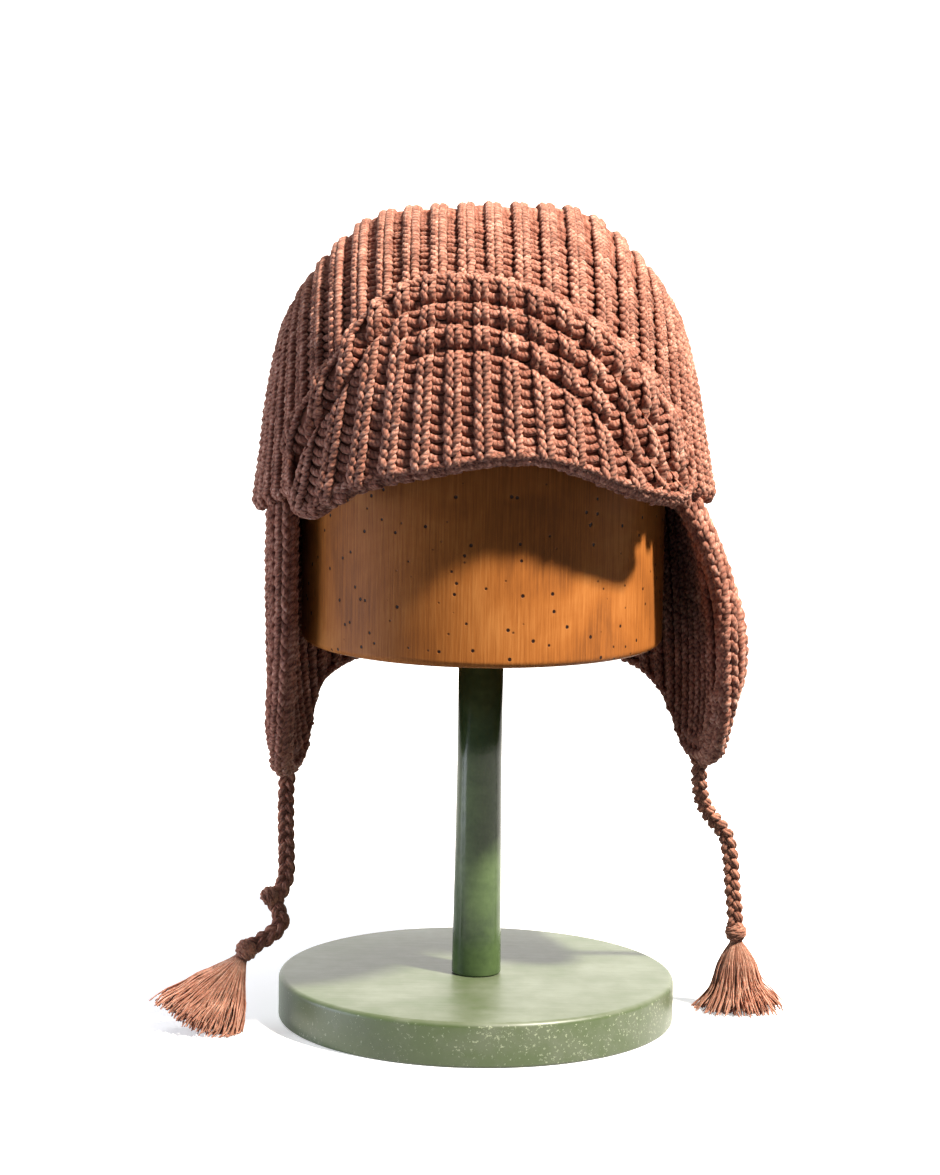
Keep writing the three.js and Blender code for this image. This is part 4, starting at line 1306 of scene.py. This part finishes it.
def flap_lines():
    """Rib lines of the curtain: down its inner face, round its lower edge and up its outer face."""
    fine = np.linspace(FIRST_TURN + 1, LAST_TURN - 1, 600)
    length = run_length(curtain(fine, 0 * fine, 0.0))
    ribs = int(round(length[-1] / FLAP_RIB_PITCH))
    turns = np.interp(np.linspace(0, length[-1], ribs + 1), length, fine)
    borders = np.concatenate([front_edge(*ends, BORDER_BEYOND)[0] for ends in FLAP_FRONTS])
    fine_drop = np.linspace(-2, LOWEST_DROP, LOWEST_DROP + 3)
    border = BORDER_WIDTH - TIP_BORDER_LESS * np.clip((fine_drop - TIP_BELOW) / TIP_FADE, 0, 1)
    lines = {"right": [], "left": []}
    for turn, reach in zip(turns, np.gradient(turns) / 2):
        way = gathered(turn, fine_drop)
        hung = fine_drop < section("fall", way) - RIB_END_LIFT
        middle = curtain(way, fine_drop, FLAP_WALL / 2)
        clear = np.linalg.norm(middle[:, None] - borders[None], axis=-1).min(1) > border
        steps = int(np.argmin(hung & clear))
        if steps < SHORTEST_FLAP_RIB:
            continue
        end, low = way[steps], section("fall", way[steps])
        way, drop = way[:steps], fine_drop[:steps]
        faces = []
        for wall, side in ((FLAP_WALL - STITCH_SINK, -1), (STITCH_SINK, 1)):
            points = curtain(way, drop, wall)
            before, after = (curtain(gathered(t, drop), drop, wall) for t in (turn - reach, turn + reach))
            width = width_across(after - before, unit(np.gradient(points, axis=0)))
            faces.append((points, side * curtain_normal(way, drop, wall), np.clip(width, *FLAP_RIB_WIDTHS)))
        held = lines["right" if turn < 180 else "left"]
        if clear[steps]:
            (inner, inward, narrow), (outer, outward, wide) = faces
            roll = [curtain(end, low - lift, wall) for lift, wall in FLAP_ROLL]
            roll_out = [inward[-1] - UP, -UP, outward[-1] - UP]
            held.append((
                np.concatenate([inner, roll, outer[::-1]]),
                unit(np.concatenate([inward, roll_out, outward[::-1]])),
                np.concatenate([narrow, [wide[-1]] * len(roll), wide[::-1]]),
            ))
        else:
            held += [faces[0], tuple(column[::-1] for column in faces[1])]
    return lines


def ridge_core():
    """Cords under the flap's ridges, a little below their stitches."""
    lines = []
    for points, out, width in flap_rib_lines["right"] + flap_rib_lines["left"]:
        length = run_length(points)
        at = np.linspace(0, length[-1], max(int(length[-1] / RIDGE_CORE_STEP), 2) + 1)
        place, way = (read_line(at, length, values) for values in (points, out))
        share = np.interp(at, length, width) / FLAP_RIB_PITCH
        lines.append(with_width(place - RIDGE_CORE_SINK * unit(way), share))
    return lines


def flap_ground():
    """Felted core of the curtain between its two knitted faces."""
    columns, rows = 150, 24
    first, last = FIRST_TURN + FLAP_PAD_ENDS_IN, LAST_TURN - FLAP_PAD_ENDS_IN
    turn = np.linspace(first, last, columns)[:, None] * np.ones(rows)
    drop = np.linspace(0, 1, rows)[None] * (section("fall", turn) - FLAP_PAD_LOW_IN)
    outer = curtain(turn, drop, FLAP_GROUND_DEPTH)
    return felt_pad("flap_ground", outer, curtain(turn, drop, FLAP_WALL - FLAP_GROUND_DEPTH))


flap = flap_ground()
flap_rib_lines = flap_lines()
ridges = dict(stitch=ridge_stitch, pitch=RIDGE_STITCH_PITCH, relief=1.15, wobble=0.03)
flap_ribs_right = trimmed(knitted("flap_ribs_right", flap_rib_lines["right"], **ridges, seed=9))
flap_ribs_left = trimmed(knitted("flap_ribs_left", flap_rib_lines["left"], **ridges, seed=10))
flap_ridge_core = trimmed(stranded("flap_ridge_core", ridge_core(), RIDGE_CORE_THICK, 6, ground_yarn))
flap_border_core = stranded("flap_border_core", border_core(), BORDER_CORE_THICK, 8, ground_yarn)
flap_border = knitted(
    "flap_border", border_lines(), edge_stitch, EDGE_STITCH_WIDTH, BORDER_STITCH_PITCH, relief=1.2, seed=12,
)

# What each knitted piece stands for and how it is held
crown_knit = [crown_ribs_right, crown_ribs_left, crown_groove]
peak_knit = [peak_ribs, peak_edging]
flap_knit = [flap_ribs_right, flap_ribs_left, flap_ridge_core, flap_border, flap_border_core]
for ground, node, knit in (
    (crown, "crown", crown_knit), (peak, "peak", peak_knit), (flap, "ear_neck_flap", flap_knit),
):
    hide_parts(node)
    for piece in (ground, *knit):
        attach(piece, "root")


# Stand
def turned(name, profile, sides, material, depth_ratio=1.0):
    """A turned piece from its profile of half width and height, closed on the axis."""
    turn = np.linspace(0, 2 * math.pi, sides, endpoint=False)
    rings = [
        np.stack([r * np.cos(turn), r * depth_ratio * np.sin(turn), 0 * turn + z], -1) for r, z in profile
    ]
    faces = grid_faces(len(rings), sides, wrap=True)
    return closed_up(new_piece(name, np.array(rings), faces, material), 0.005)


def rounded_corner(r, z, radius, start, end, steps=5):
    """Arc of a profile about a middle, from one direction to another in degrees."""
    turns = np.radians(np.linspace(start, end, steps))
    return [(r + radius * math.cos(a), z + radius * math.sin(a)) for a in turns]


# The block's rings: one over its rounded corner, 20 up its side and 30 over its dome
block_z = np.concatenate([[179.5], np.linspace(184, 288, 20), np.linspace(292, BLOCK_TOP, 30)])
block_width = smooth_read(BLOCK_PROFILE["z"], BLOCK_PROFILE["half_width"], block_z)
block_corner = max(block_width) - BLOCK_ROUNDING
block = turned(
    "oval_block",
    [(0, BLOCK_BOTTOM), (FLAT_MIDDLE, BLOCK_BOTTOM),
     *rounded_corner(block_corner, BLOCK_BOTTOM + BLOCK_ROUNDING, BLOCK_ROUNDING, -90, 0),
     *zip(block_width, block_z)],
    128, block_wood, BLOCK_DEPTH_RATIO,
)
foot_z = BASE_HEIGHT + GAP
taper_width = np.linspace(FOOT_DIAMETER / 2, POST_DIAMETER / 2, 9)
post = turned(
    "turned_post",
    [(0, foot_z),
     *rounded_corner(FOOT_DIAMETER / 2 - FOOT_ROUNDING, foot_z + FOOT_ROUNDING, FOOT_ROUNDING, -90, 0),
     *zip(taper_width, np.linspace(TAPER_BOTTOM, TAPER_TOP, 9)),
     (POST_DIAMETER / 2, BLOCK_BOTTOM - GAP), (0, BLOCK_BOTTOM - GAP)],
    64, post_paint,
)
base_rim = BASE_DIAMETER / 2
base = turned(
    "round_base",
    [(0, 0),
     *rounded_corner(base_rim - BASE_UNDER_ROUNDING, BASE_UNDER_ROUNDING, BASE_UNDER_ROUNDING, -90, 0),
     *rounded_corner(base_rim - BASE_ROUNDING, BASE_HEIGHT - BASE_ROUNDING, BASE_ROUNDING, 0, 90, 8),
     (FLAT_MIDDLE, BASE_HEIGHT), (0, BASE_HEIGHT)],
    160, base_paint,
)
for piece, node, slot in (
    (block, "hat_block", "block_wood"),
    (post, "stand_post", "post_paint"),
    (base, "stand_base", "base_paint"),
):
    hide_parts(node)
    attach(piece, "root")

# Floor, light and finish
sweep = [
    (SWEEP_FRONT, 0.0), (SWEEP_BACK, 0.0),
    *((SWEEP_BACK + SWEEP_RADIUS * math.sin(a), SWEEP_RADIUS - SWEEP_RADIUS * math.cos(a))
      for a in np.linspace(0.1, math.pi / 2, 12)),
    (SWEEP_BACK + SWEEP_RADIUS, SWEEP_HEIGHT),
]
sweep_points = [
    (x / MM, y / MM, (z - SWEEP_BELOW) / MM) for y, z in sweep for x in (-SWEEP_HALF_WIDTH, SWEEP_HALF_WIDTH)
]
floor = new_piece("paper_sweep", sweep_points, grid_faces(len(sweep), 2), studio_floor)
floor.visible_diffuse = False


def look_along(way):
    """Rotation that points a lamp's -Z along a direction."""
    back = -unit(np.array(way, float))
    side = unit(np.cross(UP, back))
    up = np.cross(back, side)
    return Matrix([[side[i], up[i], back[i], 0] for i in range(3)] + [[0, 0, 0, 1]])


def area_light(name, place, aim, size, power, colour):
    """A square lamp, in metres and watts."""
    light = bpy.data.lights.new(name, "AREA")
    light.size = size
    light.energy = power
    light.color = linear(colour)[:3]
    lamp = new_object(name, light)
    lamp.matrix_world = Matrix.Translation(place) @ look_along(np.array(aim) - np.array(place))


area_light("key_from_upper_left", (1.252, -0.877, 2.074), (0, 0, 0.22), 0.18, 205, "#fff6ec")
area_light("fill_from_right", (-1.75, -0.5, 0.6), (0, 0, 0.2), 1.3, 5.0, "#e4ecff")
area_light("low_fill_from_right", (-0.46, -0.06, 0.06), (0, 0, 0.13), 0.24, 1.5, "#e8ecff")
area_light("backdrop_wash", (0, 0.7, 2.0), (0, 1.9, 0.6), 1.6, 30, "#ffffff")
world = bpy.data.worlds.new("studio_air")
world.use_nodes = True
air = world.node_tree.nodes["Background"].inputs
air["Color"].default_value = linear("#e2e9fb")
air["Strength"].default_value = 0.2
scene.world = world
scene.view_settings.view_transform = "Standard"

for stitch in (rib_stitch, tucked_stitch, edge_stitch, groove_stitch, ridge_stitch):
    bpy.data.objects.remove(stitch)
